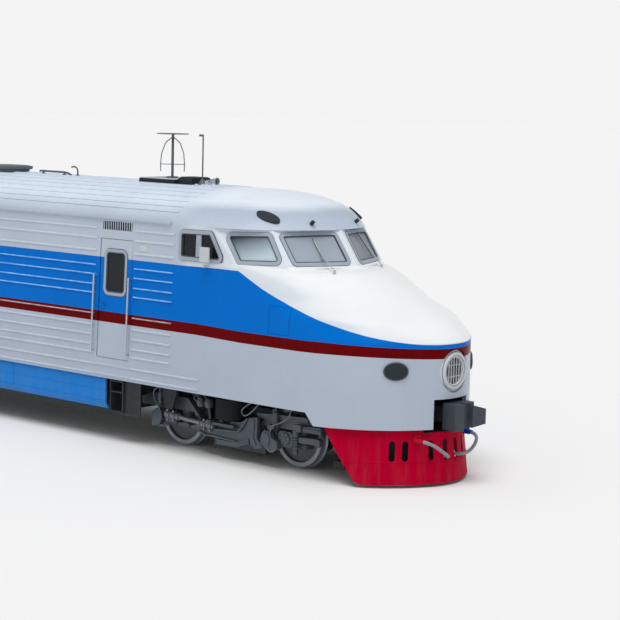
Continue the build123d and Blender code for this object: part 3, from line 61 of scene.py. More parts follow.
class Shader:
    """A small wrapper that builds one procedural material."""

    def __init__(self, name):
        self.material = bpy.data.materials.new(name)
        self.material.use_nodes = True
        self.tree = self.material.node_tree
        self.tree.nodes.clear()
        self.output = self.add("ShaderNodeOutputMaterial")
        place = self.add("ShaderNodeTexCoord")
        self.place = place.outputs["Object"]
        split = self.add("ShaderNodeSeparateXYZ", {0: self.place})
        self.x, self.y, self.z = split.outputs
        self.gloss = None

    def add(self, kind, inputs=(), **settings):
        made = self.tree.nodes.new(kind)
        for key, value in settings.items():
            setattr(made, key, value)
        for key, value in dict(inputs).items():
            self.feed(made.inputs[key], value)
        return made

    def feed(self, socket, value):
        if isinstance(value, bpy.types.NodeSocket):
            self.tree.links.new(value, socket)
        elif hasattr(socket.default_value, "__len__") and len(socket.default_value) == 4 and len(value) == 3:
            socket.default_value = (*value, 1.0)
        else:
            socket.default_value = value

    def calc(self, operation, *values):
        made = self.add("ShaderNodeMath", operation=operation)
        for socket, value in zip(made.inputs, values):
            self.feed(socket, value)
        return made.outputs[0]

    def times(self, first, second):
        return self.calc("MULTIPLY", first, second)

    def minus(self, first, second):
        return self.calc("SUBTRACT", first, second)

    def unsigned(self, value):
        return self.calc("ABSOLUTE", value)

    def below(self, value, edge, blur=0.0008):
        """1 below the edge and 0 above it."""
        return self.minus(1.0, self.step(value, edge, blur))

    def between(self, value, low, high):
        """1 between two edges and 0 outside them."""
        return self.times(self.step(value, low), self.below(value, high))

    def clouded(self, colour, scale, dark, light):
        """The colour in soft darker and lighter patches."""
        cloud = self.span(self.noise(scale, 4.0), 0.3, 0.7, dark, light)
        grey = self.add("ShaderNodeCombineColor", {0: cloud, 1: cloud, 2: cloud})
        return self.mix(1.0, colour, grey.outputs[0], "MULTIPLY")

    def step(self, value, edge, blur=0.0008):
        """0 below the edge and 1 above it."""
        low = self.minus(edge, blur)
        high = self.calc("ADD", edge, blur)
        made = self.add("ShaderNodeMapRange", {"Value": value, "From Min": low, "From Max": high})
        return made.outputs["Result"]

    def span(self, value, a, b, c=0.0, d=1.0):
        settings = {"Value": value, "From Min": a, "From Max": b, "To Min": c, "To Max": d}
        return self.add("ShaderNodeMapRange", settings).outputs["Result"]

    def mix(self, factor, first, second, blend="MIX"):
        made = self.add("ShaderNodeMix", data_type="RGBA", blend_type=blend)
        self.feed(made.inputs["Factor"], factor)
        self.feed(made.inputs[6], first)
        self.feed(made.inputs[7], second)
        return made.outputs[2]

    def noise(self, scale, detail=3.0, stretch=(1.0, 1.0, 1.0), roughness=0.5):
        moved = self.add("ShaderNodeMapping", {"Vector": self.place, "Scale": stretch})
        settings = {"Vector": moved.outputs[0], "Scale": scale, "Detail": detail, "Roughness": roughness}
        return self.add("ShaderNodeTexNoise", settings).outputs["Fac"]

    def bump(self, height, strength, distance=0.01, normal=None):
        inputs = {"Height": height, "Strength": strength, "Distance": distance}
        if normal is not None:
            inputs["Normal"] = normal
        return self.add("ShaderNodeBump", inputs).outputs[0]

    def principled(self, **inputs):
        named = {key.replace("_", " "): value for key, value in inputs.items()}
        made = self.add("ShaderNodeBsdfPrincipled", named)
        self.feed(self.output.inputs["Surface"], made.outputs[0])
        return made


def worn(s, colour, grime=(0.20, 0.19, 0.17), amount=0.10, low=0.2, high=1.6):
    """Soft colour variation over a base colour, with dust that gathers low down and runs in streaks."""
    varied = s.clouded(colour, 0.9, 0.965, 1.03)
    streak = s.span(s.noise(3.0, 5.0, (2.6, 2.6, 0.18), 0.6), 0.45, 0.8)
    height = s.span(s.z, low, high, 1.0, 0.12)
    return s.mix(s.times(s.times(streak, height), amount), varied, grime)


def paint(name, colour, roughness=0.30, coat=0.04, amount=0.10, low=0.2, high=1.6, gloss=0.12):
    """Gloss paint with a faint wave and a fine peel."""
    s = Shader(name)
    base = worn(s, colour(s) if callable(colour) else colour, amount=amount, low=low, high=high)
    rough = s.span(s.noise(2.4, 5.0), 0.3, 0.7, roughness - 0.05, roughness + 0.09)
    wave = s.bump(s.noise(1.7, 2.0), 0.06, 0.02)
    peel = s.bump(s.noise(160.0, 2.0), 0.03, 0.001, wave)
    s.principled(
        Base_Color=base, Roughness=rough, Normal=peel, Coat_Weight=coat, Coat_Roughness=0.15,
        Specular_IOR_Level=gloss if s.gloss is None else s.gloss,
    )
    return s.material


BODY = (0.425, 0.480, 0.575)
UPPER = (0.475, 0.535, 0.630)
# Painted light and shade on the hood: the paler white where the surface faces the light, the greyer one on
# the flanks that turn away
HOOD_LIT = (0.845, 0.870, 0.880)
HOOD_SHADED = (0.645, 0.695, 0.755)
HOOD_LIGHT_FROM = (0.53, 0.12, 0.84)
BLUE = (0.0, 0.150, 0.585)
RED = (0.125, 0.0, 0.001)
# Painted highlights along the rib crests: on the pale body, on the blue band and on the red stripe
CREST_HIGHLIGHT = (0.72, 0.78, 0.85)
CREST_HIGHLIGHT_BLUE = (0.36, 0.62, 0.90)
CREST_HIGHLIGHT_RED = (0.66, 0.56, 0.60)
HATCH_LINE = (0.0, 0.060, 0.30)
# Painted shade in the slot over the door
SLOT_SHADE = (0.012, 0.014, 0.018)
# Ahead of the front pivot: the stretch without close ribs at the crew door, from and to
RIB_GAP = (-2.66, -1.75)
# The hatch on the nose: from and to ahead of the front pivot, low and high
HATCH = (1.20, 1.61, 2.145, 2.555)
PILOT_RED = (0.430, 0.0, 0.024)
HOSE_TONE = (0.235, 0.255, 0.28)
STRIPE_LOW, STRIPE_HIGH, BAND_HIGH = 1.965, 2.135, 3.015
# Upper edge of the blue band on the nose. Columns: metres ahead of the front pivot, height
BAND_EDGE = [
    (-0.60, 3.015), (0.10, 3.025), (0.529, 3.022), (0.774, 2.906), (1.017, 2.790), (1.265, 2.686),
    (1.555, 2.582), (1.846, 2.490), (2.118, 2.410), (2.349, 2.346), (2.566, 2.284), (2.766, 2.234),
    (2.951, 2.194), (3.119, 2.162), (3.271, 2.136), (3.403, 2.118), (3.505, 2.110),
]
# Ribs on the walls: heights, and where they end ahead of the front pivot
CLOSE_RIBS = (3.480, 3.318, 3.115, 2.873, 2.722, 2.560, 2.417, 2.081, 1.898, 1.736, 1.579, 1.447)
LONG_RIBS = (1.262, 1.107)
WALL_RIBS = [(z, -0.86) for z in CLOSE_RIBS] + [(z, -0.30) for z in LONG_RIBS]
# How far above each rib's height its painted highlight line runs
HIGHLIGHT_RISE = 0.005
CURVE_X0, CURVE_X1 = -0.7, 3.7
CURVE_Z0, CURVE_Z1 = 1.9, 3.1


def band_edge(s, ahead):
    """Upper edge of the blue band at a length ahead of the front pivot."""
    curve = s.add("ShaderNodeFloatCurve", {"Value": s.span(ahead, CURVE_X0, CURVE_X1)})
    points = curve.mapping.curves[0].points
    table = [(CURVE_X0, BAND_HIGH), *BAND_EDGE, (CURVE_X1, BAND_EDGE[-1][1])]
    while len(points) < len(table):
        points.new(0.5, 0.5)
    for point, (x, z) in zip(points, table):
        point.location = ((x - CURVE_X0) / (CURVE_X1 - CURVE_X0), (z - CURVE_Z0) / (CURVE_Z1 - CURVE_Z0))
        point.handle_type = "VECTOR"
    curve.mapping.update()
    return s.calc("MULTIPLY_ADD", curve.outputs[0], CURVE_Z1 - CURVE_Z0, CURVE_Z0)


def stripe_edge(s, ahead, height, drop, power, tip_drop):
    """An edge of the stripe, a little lower on the nose and lower again towards the tip."""
    nose, tip = s.span(ahead, -0.3, 0.63), s.span(ahead, 2.2, 3.55)
    low = s.calc("MULTIPLY_ADD", nose, drop, height)
    return s.calc("MULTIPLY_ADD", s.calc("POWER", tip, power), tip_drop, low)


def hatch_lines(s, ahead):
    """The thin outline of the hatch."""
    lines = 0.0
    for value, ends, across, sides in (
        (ahead, HATCH[:2], s.z, HATCH[2:]),
        (s.z, HATCH[2:], ahead, HATCH[:2]),
    ):
        inside = s.between(across, *sides)
        for at in ends:
            line = s.span(s.unsigned(s.minus(value, at)), 0.002, 0.007, 0.8, 0.0)
            lines = s.calc("MAXIMUM", lines, s.times(line, inside))
    return lines


def livery(s):
    """Pale body, blue band and dark red stripe. The band runs down the nose under the white hood. Painted
    light and shade: the hood is paler where it faces the light and greyer on its flanks, painted highlights
    run along the rib crests, and painted shade fills the slot over the door.
    """
    ahead = s.minus(s.x, PIVOT)
    edge = band_edge(s, ahead)
    low = stripe_edge(s, ahead, STRIPE_LOW, -0.025, 2.2, -0.042)
    high = stripe_edge(s, ahead, STRIPE_HIGH, -0.027, 1.3, -0.062)
    # Painted light and shade: the hood is paler where its surface faces the light direction and greyer where
    # it turns away
    normal = s.add("ShaderNodeNewGeometry").outputs["Normal"]
    facing = s.add("ShaderNodeVectorMath", {0: normal, 1: HOOD_LIGHT_FROM}, operation="DOT_PRODUCT")
    hood = s.mix(s.span(facing.outputs["Value"], 0.55, 0.86), HOOD_SHADED, HOOD_LIT)
    colour = s.mix(s.step(s.z, low), BODY, RED)
    colour = s.mix(s.step(s.z, high), colour, BLUE)
    colour = s.mix(s.step(s.z, edge), colour, s.mix(s.span(ahead, -0.80, -0.55), UPPER, hood))
    s.gloss = s.span(s.between(s.z, low, edge), 0.0, 1.0, 0.12, 0.02)
    # Painted highlights: a pale line along the crest of each rib, broken up by noise, stronger on the band
    # and the stripe, and none at the crew door
    crest_highlight = 0.0
    for height, end in WALL_RIBS:
        off = s.unsigned(s.minus(s.z, height + HIGHLIGHT_RISE))
        line = s.times(s.span(off, 0.004, 0.013, 1.0, 0.0), s.below(ahead, end, 0.01))
        crest_highlight = s.calc("MAXIMUM", crest_highlight, line)
    at_door = s.between(ahead, *RIB_GAP)
    crest_highlight = s.times(crest_highlight, s.minus(1.0, at_door))
    in_band = s.between(s.z, high, edge)
    in_red = s.between(s.z, low, high)
    pale = s.mix(in_red, s.mix(in_band, CREST_HIGHLIGHT, CREST_HIGHLIGHT_BLUE), CREST_HIGHLIGHT_RED)
    highlight_strength = s.calc("MULTIPLY_ADD", s.calc("MAXIMUM", in_band, in_red), 0.45, 0.45)
    broken_highlight = s.times(crest_highlight, s.span(s.noise(7.0, 3.0, (1.0, 1.0, 6.0)), 0.35, 0.6, 0.5, 1.0))
    colour = s.mix(s.times(broken_highlight, highlight_strength), colour, pale)
    colour = s.mix(s.times(hatch_lines(s, ahead), in_band), colour, HATCH_LINE)
    # The slot over the door: painted shade, dark where the surface lies behind the wall's face
    out = s.calc("ADD", s.unsigned(s.y), s.times(s.minus(s.z, LEAN_START), WALL_LEAN))
    slot = s.times(s.below(out, HALF_WIDTH - 0.008, 0.003), s.times(at_door, s.step(s.z, 3.46)))
    return s.mix(slot, colour, SLOT_SHADE)


def metal(name, colour, roughness, metallic, amount, scale=40.0, strength=0.15, rust=0.0):
    """Bare or painted metal with a fine grain, and rust patches where asked."""
    s = Shader(name)
    base = worn(s, colour(s) if callable(colour) else colour, (0.11, 0.085, 0.065), amount, 0.0, 1.3)
    if rust:
        patch = s.span(s.noise(9.0, 6.0, roughness=0.65), 0.56, 0.72, 0.0, rust)
        base = s.mix(patch, base, (0.14, 0.06, 0.03))
    rough = s.span(s.noise(14.0, 4.0), 0.3, 0.7, roughness - 0.08, roughness + 0.12)
    normal = s.bump(s.noise(scale, 4.0), strength, 0.002)
    s.principled(Base_Color=base, Roughness=rough, Metallic=metallic, Normal=normal)
    return s.material


def plain(name, colour, roughness, **more):
    """Rubber, plastic and the like: a fine grain and a slightly uneven tone."""
    s = Shader(name)
    base = s.clouded(colour, 6.0, 0.9, 1.08)
    rough = s.span(s.noise(20.0, 3.0), 0.3, 0.7, roughness - 0.05, roughness + 0.07)
    s.principled(Base_Color=base, Roughness=rough, Normal=s.bump(s.noise(120.0, 3.0), 0.2, 0.0008), **more)
    return s.material


def pane_reflections(s):
    """Dark side windows, and painted reflections on the others: corner panes dark at the top and pale towards
    their foot, and grey front panes, darker towards the top and on the left pane.
    """
    out = s.unsigned(s.y)
    sweep = s.calc("MULTIPLY_ADD", s.minus(s.x, PIVOT + 0.5), -0.35, s.z)
    corner = s.mix(s.span(sweep, 3.12, 3.58), (0.54, 0.65, 0.73), (0.04, 0.056, 0.07))
    front = s.mix(s.span(s.z, 3.14, 3.56), (0.385, 0.435, 0.505), (0.325, 0.37, 0.435))
    front = s.mix(s.step(s.y, 0.0), front, (0.24, 0.27, 0.315))
    tone = s.mix(s.step(out, 1.06), front, corner)
    return s.mix(s.step(out, 1.445), tone, (0.012, 0.015, 0.018))


def glass(name, colour, alpha, roughness=0.04, gloss=0.12):
    """A pane with a faint smear and haze."""
    s = Shader(name)
    tinted = colour(s) if callable(colour) else colour
    smear = s.span(s.noise(2.5, 4.0, (1.0, 1.0, 0.5)), 0.35, 0.7, roughness, roughness + 0.05)
    haze = s.span(s.noise(1.2, 3.0), 0.3, 0.7, alpha - 0.03, alpha + 0.03)
    s.principled(
        Base_Color=tinted, Roughness=smear, Alpha=haze, Coat_Weight=0.1, Coat_Roughness=0.02,
        Specular_IOR_Level=gloss,
    )
    return s.material


def cloth(name, colour, dark):
    """A woven cloth."""
    s = Shader(name)
    threads = {"Vector": s.place, "Scale": 60.0, "Distortion": 0.6}
    weave, cross = (s.add("ShaderNodeTexWave", threads, bands_direction=way).outputs[1] for way in "XZ")
    thread = s.times(weave, cross)
    base = s.mix(thread, dark, colour)
    s.principled(Base_Color=base, Roughness=0.85, Normal=s.bump(thread, 0.4, 0.001), Sheen_Weight=0.25)
    return s.material


def roof_shading(s):
    """Painted shade: greyer towards the gutters and paler up on the roof, and paler where the roof meets the
    dome over the cab.
    """
    back = s.mix(s.span(s.z, 3.66, 3.98), (0.42, 0.475, 0.565), (0.665, 0.75, 0.855))
    return s.mix(s.span(s.x, PIVOT - 1.15, PIVOT - 0.45), back, dome_shading(s))


def dome_shading(s):
    """Painted light and shade: pale on the crown, greyer on the brow."""
    cloud = s.calc("MULTIPLY_ADD", s.noise(0.8, 2.0), 0.14, s.minus(s.z, 0.07))
    low = s.mix(s.span(s.z, 3.64, 3.86), (0.50, 0.58, 0.69), (0.44, 0.51, 0.61))
    return s.mix(s.span(cloud, 3.90, 4.02), low, (0.76, 0.825, 0.905))


def pilot_crimson_and_shade(s):
    """Crimson outside, and painted shade, near black, on the stays behind it."""
    skin = s.calc("MAXIMUM", s.step(s.unsigned(s.y), 0.62), s.step(s.x, PIVOT + 2.975))
    return s.mix(skin, (0.02, 0.022, 0.025), PILOT_RED)


def hose_tone(s):
    """Grey hoses with a red cock on one side and a blue one on the other, the other way round at the rear."""
    cock = s.mix(s.step(s.times(s.x, s.y), 0.0), (0.42, 0.004, 0.02), (0.0, 0.035, 0.42))
    return s.mix(s.step(s.unsigned(s.x), PIVOT + 3.500), cock, HOSE_TONE)


def box_tone(s):
    """The long roof box is pale on top, the cover ahead of it black."""
    pale = s.times(s.step(s.z, 4.262), s.below(s.x, PIVOT - 2.103))
    return s.mix(pale, (0.018, 0.022, 0.027), (0.40, 0.455, 0.50))


def wheel_tone(s):
    """Dark discs with a worn, paler rim."""
    along = s.minus(s.unsigned(s.minus(s.unsigned(s.x), PIVOT)), WHEELBASE / 2)
    up = s.minus(s.z, AXLE_Z)
    radius = s.calc("SQRT", s.calc("ADD", s.times(along, along), s.times(up, up)))
    return s.mix(s.step(radius, 0.405, 0.012), (0.075, 0.088, 0.105), (0.30, 0.335, 0.38))


LIVERY = paint("livery_paint", livery, 0.30)
ROOF = paint("roof_paint", roof_shading, 0.36, amount=0.12, low=3.4, high=4.3)
DOME = paint("dome_paint", dome_shading, 0.30, amount=0.05, low=3.4, high=4.3)
PALE = paint("pale_paint", (0.72, 0.765, 0.83), 0.30, amount=0.05)
PLATE = paint("plate_paint", (0.55, 0.58, 0.62), 0.30, amount=0.10)
BODY_PAINT = paint("body_paint", BODY, 0.30)
BLUE_PAINT = paint("blue_paint", (0.014, 0.205, 0.62), 0.34, amount=0.3, low=0.4, high=1.2, gloss=0.06)
CRIMSON = paint("crimson_paint", pilot_crimson_and_shade, 0.45, coat=0.0, amount=0.14, low=0.05, high=0.9, gloss=0.02)
CHASSIS = metal("chassis_paint", (0.016, 0.020, 0.025), 0.60, 0.1, amount=0.18)
BOGIE = metal(
    "bogie_paint", (0.075, 0.094, 0.115), 0.46, 0.25, scale=90.0, strength=0.3, amount=0.12, rust=0.06
)
COUPLER = metal("coupler_iron", (0.040, 0.052, 0.066), 0.50, 0.2, amount=0.12)
WHEEL = metal("wheel_steel", wheel_tone, 0.45, 0.4, amount=0.15, rust=0.10)
DULL_STEEL = metal("dull_steel", (0.225, 0.25, 0.275), 0.36, 0.6, amount=0.1)
STEEL = metal("bright_steel", (0.50, 0.54, 0.58), 0.32, 0.8, amount=0.05)
ANTENNA = metal("antenna_paint", (0.10, 0.12, 0.135), 0.45, 0.3, amount=0.1)
ROOF_BOX = paint("roof_box_paint", box_tone, 0.45, amount=0.1)
HOSE = paint("hose_cocks", hose_tone, 0.50, amount=0.1)
HOSE_GREY = plain("hose_rubber", HOSE_TONE, 0.55)
HOOP = metal("bracket_paint", (0.16, 0.175, 0.19), 0.45, 0.3, amount=0.1)
RUBBER = plain("rubber", (0.012, 0.014, 0.017), 0.70, Specular_IOR_Level=0.2)
BLACK = plain("black_plastic", (0.010, 0.011, 0.013), 0.60)
SEAL = plain("window_seal", (0.055, 0.066, 0.080), 0.5)
FRAME = paint("frame_paint", (0.350, 0.405, 0.480), 0.34, amount=0.03)
LINING = plain("cab_lining", (0.42, 0.44, 0.45), 0.5)
FLOORING = plain("floor_covering", (0.12, 0.125, 0.13), 0.6)
DESK = plain("desk_plastic", (0.07, 0.075, 0.085), 0.45)
SEAT = cloth("seat_cloth", (0.06, 0.10, 0.22), (0.02, 0.03, 0.08))
GLASS_DARK = glass("saloon_glass", (0.014, 0.018, 0.022), 0.94)
PANES = glass("window_panes", pane_reflections, 0.96, gloss=0.14)
LENS = glass("lamp_lens", (0.024, 0.033, 0.041), 0.98, 0.16, 0.08)
LENS_DARK = metal("lamp_reflector", (0.16, 0.175, 0.195), 0.34, 0.7, strength=0.02, amount=0.0)

# Materials of the CAD nodes, by the start of the node's name
PAINTS = [
    (STEEL, "air_horns handrails wipers"),
    (RUBBER, "air_springs gangway_bellows"),
    (CHASSIS, "air_tanks crew_steps receiver_coils underfloor_boxes underframe"),
    (BOGIE, "axle_boxes bogie_frame brake_gear rods_and_dampers"),
    (HOSE, "brake_hoses"),
    (LINING, "bulkheads"),
    (FLOORING, "cab_floor"),
    (DOME, "cab_roof_dome"),
    (COUPLER, "couplers"),
    (GLASS_DARK, "crew_door_glass end_door_glass entry_door_glass"),
    (LIVERY, "crew_door entry_doors hood nose_shell side_wall"),
    (DESK, "driver_desk"),
    (SEAT, "driver_seats saloon_seats"),
    (BODY_PAINT, "end_door rear_end_wall"),
    (PALE, "glasshouse_frame"),
    (LENS, "marker_lamps"),
    (PLATE, "mirrors round_headlamp"),
    (CRIMSON, "pilot"),
    (ROOF, "rain_gutters roof"),
    (ANTENNA, "roof_antennas"),
    (ROOF_BOX, "roof_boxes"),
    (BLUE_PAINT, "skirt_panels"),
    (WHEEL, "wheelset"),
    (FRAME, "window_frames"),
    (PANES, "window_glass"),
]
PAINT_OF = {start: material for material, starts in PAINTS for start in starts.split()}
for name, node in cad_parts.items():
    key = max((start for start in PAINT_OF if name.startswith(start)), key=len)
    node.data.materials.clear()
    node.data.materials.append(PAINT_OF[key])

# Mesh helpers


def placed(name, data):
    """A new object in the scene."""
    made = bpy.data.objects.new(name, data)
    bpy.context.scene.collection.objects.link(made)
    return made


def piece(name, verts, faces, material, slot, body="carbody", smooth=35.0):
    """One mesh piece that rides on a body."""
    mesh = bpy.data.meshes.new(name)
    mesh.from_pydata([tuple(v) for v in verts], [], faces)
    mesh.validate()
    sorted_out = bmesh.new()
    sorted_out.from_mesh(mesh)
    bmesh.ops.recalc_face_normals(sorted_out, faces=sorted_out.faces)
    sorted_out.to_mesh(mesh)
    sorted_out.free()
    mesh.polygons.foreach_set("use_smooth", [smooth > 0] * len(mesh.polygons))
    if smooth > 0:
        mesh.set_sharp_from_angle(angle=math.radians(smooth))
    mesh.materials.append(material)
    made = placed(name, mesh)
    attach(made, body)
    return made


def curtain(rows):
    """Faces between open rows of equal length."""
    count = len(rows[0])
    faces = []
    for j in range(len(rows) - 1):
        for i in range(count - 1):
            a = j * count + i
            faces.append((a, a + 1, a + 1 + count, a + count))
    return [p for row in rows for p in row], faces


# Hood

# Plan outlines of the nose. Columns: height, tip, tip radius, where the side starts to turn in
NOSE_LEVELS = [
    (2.120, 3.570, 0.950, 1.700), (2.200, 3.510, 0.945, 1.640), (2.300, 3.400, 0.940, 1.570),
    (2.410, 3.240, 0.930, 1.500), (2.530, 3.000, 0.915, 1.200), (2.650, 2.740, 0.900, 0.900),
    (2.780, 2.470, 0.980, 0.760), (2.900, 2.210, 1.100, 0.620), (3.010, 1.960, 1.300, 0.400),
    (3.110, 1.535, 1.600, 0.050),
]
HOOD_SEAM, HOOD_ROWS = 2.120, 44


def smooth_row(table, key):
    """A row of the table at any key, on a curve through its rows that doesn't overshoot."""
    keys = [row[0] for row in table]
    key = min(max(key, keys[0]), keys[-1])
    i = max(0, min(len(keys) - 2, sum(k <= key for k in keys) - 1))
    h = keys[i + 1] - keys[i]
    t = (key - keys[i]) / h
    result = []
    for column in range(1, len(table[0])):
        values = [row[column] for row in table]
        slopes = [(b - a) / (kb - ka) for a, b, ka, kb in zip(values, values[1:], keys, keys[1:])]

        def tangent(j):
            if j == 0:
                return slopes[0]
            if j == len(keys) - 1:
                return slopes[-1]
            a, b = slopes[j - 1], slopes[j]
            return 0.0 if a * b <= 0 else 2 * a * b / (a + b)

        a, b = values[i], values[i + 1]
        ta, tb = tangent(i) * h, tangent(i + 1) * h
        share = 3 * t**2 - 2 * t**3
        result.append(a * (1 - share) + b * share + ta * (t**3 - 2 * t**2 + t) + tb * (t**3 - t**2))
    return result


def nose_line(z, extra=0.0, back=-0.2):
    """Half outline at a height, from the side to the tip: a straight, a turning arc and a tip arc."""
    tip, tip_radius, start = smooth_row(NOSE_LEVELS, z)
    wide = wall_y(z) + extra
    small = tip_radius + extra
    centre_x = tip - tip_radius
    turn_radius = (small + wide) / 2 + (start - centre_x) ** 2 / (2 * (wide - small))
    turn_y = wide - turn_radius
    away = Vector((centre_x - start, -turn_y))
    away.normalize()
    if turn_radius > small:
        join = Vector((centre_x, 0.0)) + away * small
    else:
        away = -away
        join = Vector((start, turn_y)) + away * turn_radius
    points = [(back + (start - back) * i / 8, wide) for i in range(8)]
    end = math.atan2(join.y - turn_y, join.x - start)
    for i in range(25):
        a = math.pi / 2 + (end - math.pi / 2) * i / 24
        points.append((start + turn_radius * math.cos(a), turn_y + turn_radius * math.sin(a)))
    first = math.atan2(join.y, join.x - centre_x)
    for i in range(1, 25):
        a = first * (1 - i / 24)
        points.append((centre_x + small * math.cos(a), small * math.sin(a)))
    return points


def full_line(z, extra=0.0):
    """The whole outline at a height, from one side round the tip to the other."""
    half = [(PIVOT + x, y, z) for x, y in nose_line(z, extra)]
    return half + [(x, -y, z) for x, y, z in reversed(half[:-1])]


rows = [full_line(HOOD_SEAM + (GLASS_FOOT - HOOD_SEAM) * (i / HOOD_ROWS)) for i in range(HOOD_ROWS + 1)]
rows = [full_line(2.06, -0.004), *rows, full_line(GLASS_FOOT, -0.10)]
verts, faces = curtain(rows)
faces.append(tuple(range(len(verts) - len(rows[0]), len(verts))))
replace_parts(piece("hood_skin", verts, faces, LIVERY, "body_white", smooth=50), "hood")

# Shapes for small pieces


def inset_corners(corners, margin):
    """A flat polygon in space with every side moved in by a margin, and its outward normal."""
    normal = (corners[1] - corners[0]).cross(corners[2] - corners[1]).normalized()
    result = []
    for i, corner in enumerate(corners):
        before = (corner - corners[i - 1]).normalized()
        after = (corners[(i + 1) % len(corners)] - corner).normalized()
        result.append(corner + (after - before) * (margin / before.cross(after).dot(normal)))
    return result, normal


def soft_outline(corners, margin, radius, lift, steps=7):
    """The outline of a flat polygon, moved in, lifted off its plane, with rounded corners."""
    corners, normal = inset_corners(corners, margin)
    points = []
    for i, corner in enumerate(corners):
        before = (corners[i - 1] - corner).normalized()
        after = (corners[(i + 1) % len(corners)] - corner).normalized()
        half = before.angle(after) / 2
        centre = corner + (before + after).normalized() * (radius / math.sin(half))
        start = corner + before * (radius / math.tan(half)) - centre
        end = corner + after * (radius / math.tan(half)) - centre
        turn = start.angle(end)
        square = (end - start * math.cos(turn)) / math.sin(turn)
        for j in range(steps):
            a = turn * j / (steps - 1)
            points.append(centre + start * math.cos(a) + square * math.sin(a) + normal * lift)
    return points


def outline_ring(corners, profile, radius):
    """A closed ring that follows a rounded outline. Columns of the profile: margin, lift."""
    loops = [soft_outline(corners, margin, max(radius - margin, 0.012), lift) for margin, lift in profile]
    return closed_loops(loops, True)


def closed_loops(loops, ring=False):
    """Verts and faces between loops of equal length, the last joined to the first on a ring."""
    count = len(loops[0])
    verts = [p for loop in loops for p in loop]
    faces = []
    rows = len(loops)
    for j in range(rows if ring else rows - 1):
        a, b = j * count, ((j + 1) % rows) * count
        for i in range(count):
            k = (i + 1) % count
            faces.append((a + i, a + k, b + k, b + i))
    if not ring:
        faces.append(tuple(range(count)))
        faces.append(tuple(range((rows - 1) * count, rows * count)))
    return verts, faces


def joined(parts):
    """One list of verts and faces from many."""
    verts, faces = [], []
    for some_verts, some_faces in parts:
        base = len(verts)
        verts += list(some_verts)
        faces += [tuple(base + i for i in face) for face in some_faces]
    return verts, faces


def flipped(shape):
    """The same shape on the car's other side."""
    verts, faces = shape
    return [Vector((v[0], -v[1], v[2])) for v in verts], [tuple(reversed(face)) for face in faces]


def both_sides(shape):
    """The shape on the left and on the right."""
    return joined([shape, flipped(shape)])


def turned_round(shape):
    """The same shape at the other end, turned half round."""
    verts, faces = shape
    return [Vector((-v[0], -v[1], v[2])) for v in verts], faces


def shifted(shape, ahead):
    """The same shape further ahead."""
    verts, faces = shape
    return [Vector((v[0] + ahead, v[1], v[2])) for v in verts], faces


def curve_point(a, b, c, d, t):
    """A point between b and c on a Catmull-Rom curve."""
    return 0.5 * (2 * b + (c - a) * t + (2 * a - 5 * b + 4 * c - d) * t**2 + (3 * b - 3 * c + d - a) * t**3)


def smooth_path(points, steps=6):
    """A smooth curve through a few points."""
    points = [Vector(p) for p in points]
    full = [points[0] * 2 - points[1], *points, points[-1] * 2 - points[-2]]
    result = []
    for four in zip(full, full[1:], full[2:], full[3:]):
        result += [curve_point(*four, i / steps) for i in range(steps)]
    return [*result, points[-1]]


def circle(centre, across, up, radius, sides):
    """Points round a circle."""
    turns = [2 * math.pi * k / sides for k in range(sides)]
    return [centre + (across * math.cos(a) + up * math.sin(a)) * radius for a in turns]


def tube(path, radius, sides=10):
    """A round tube along a path."""
    path = [Vector(p) for p in path]
    loops = []
    across = (path[1] - path[0]).normalized().orthogonal().normalized()
    for i, p in enumerate(path):
        step = (path[min(i + 1, len(path) - 1)] - path[max(i - 1, 0)]).normalized()
        across = (across - step * across.dot(step)).normalized()
        loops.append(circle(p, across, step.cross(across), radius, sides))
    return closed_loops(loops)


def coil(x, y, low, high, radius, wire, turns):
    """An upright coil spring."""
    steps = int(turns * 18)
    path = []
    for i in range(steps + 1):
        a = 2 * math.pi * turns * i / steps
        path.append((x + radius * math.cos(a), y + radius * math.sin(a), low + (high - low) * i / steps))
    return tube(path, wire, 8)


def softened(outline, cut):
    """A plan outline whose corners are cut to two points each."""
    result = []
    for i, p in enumerate(outline):
        p, a, b = Vector(p), Vector(outline[i - 1]), Vector(outline[(i + 1) % len(outline)])
        back, ahead = a - p, b - p
        result.append(p + back * min(cut / back.length, 0.4))
        result.append(p + ahead * min(cut / ahead.length, 0.4))
    return result


def side_plate(outline, y, depth, edge=0.006, cut=0.012):
    """A plate standing along the car with an eased edge, from its outline in length and height."""
    corners = softened(outline, cut)
    middle = sum(corners, Vector((0.0, 0.0))) / len(corners)
    face_out = -1.0 if y < 0 else 1.0
    loops = []
    for off, pull in ((-depth / 2, 0.0), (depth / 2 - edge, 0.0), (depth / 2, edge)):
        loop = []
        for p in corners:
            q = p - (p - middle).normalized() * pull
            loop.append(Vector((q.x, y + off * face_out, q.y)))
        loops.append(loop)
    return closed_loops(loops)


def turned_shape(origin, axis, profile, sides=24, ring=False):
    """A turned shape, open in the middle if it is a ring. Profile: distance along the axis, radius."""
    origin, axis = Vector(origin), Vector(axis).normalized()
    across = axis.orthogonal().normalized()
    up = axis.cross(across)
    loops = [circle(origin + axis * along, across, up, radius, sides) for along, radius in profile]
    return closed_loops(loops, ring)


# Seals round the windows

HOUSE_LEAN, CORNER_LEAN = 0.352, 0.170
FRONT_OUT = Vector((1.12, 0.455)).normalized()
CORNER_OUT = Vector((0.335, 0.80)).normalized()


def front_point(y, z):
    """A point of the cab's front glass plane, left side."""
    rise = (z - GLASS_FOOT) / (GUTTER - GLASS_FOOT)
    return Vector((PIVOT + 1.655 - (HOUSE_LEAN * rise + FRONT_OUT.y * y) / FRONT_OUT.x, y, z))


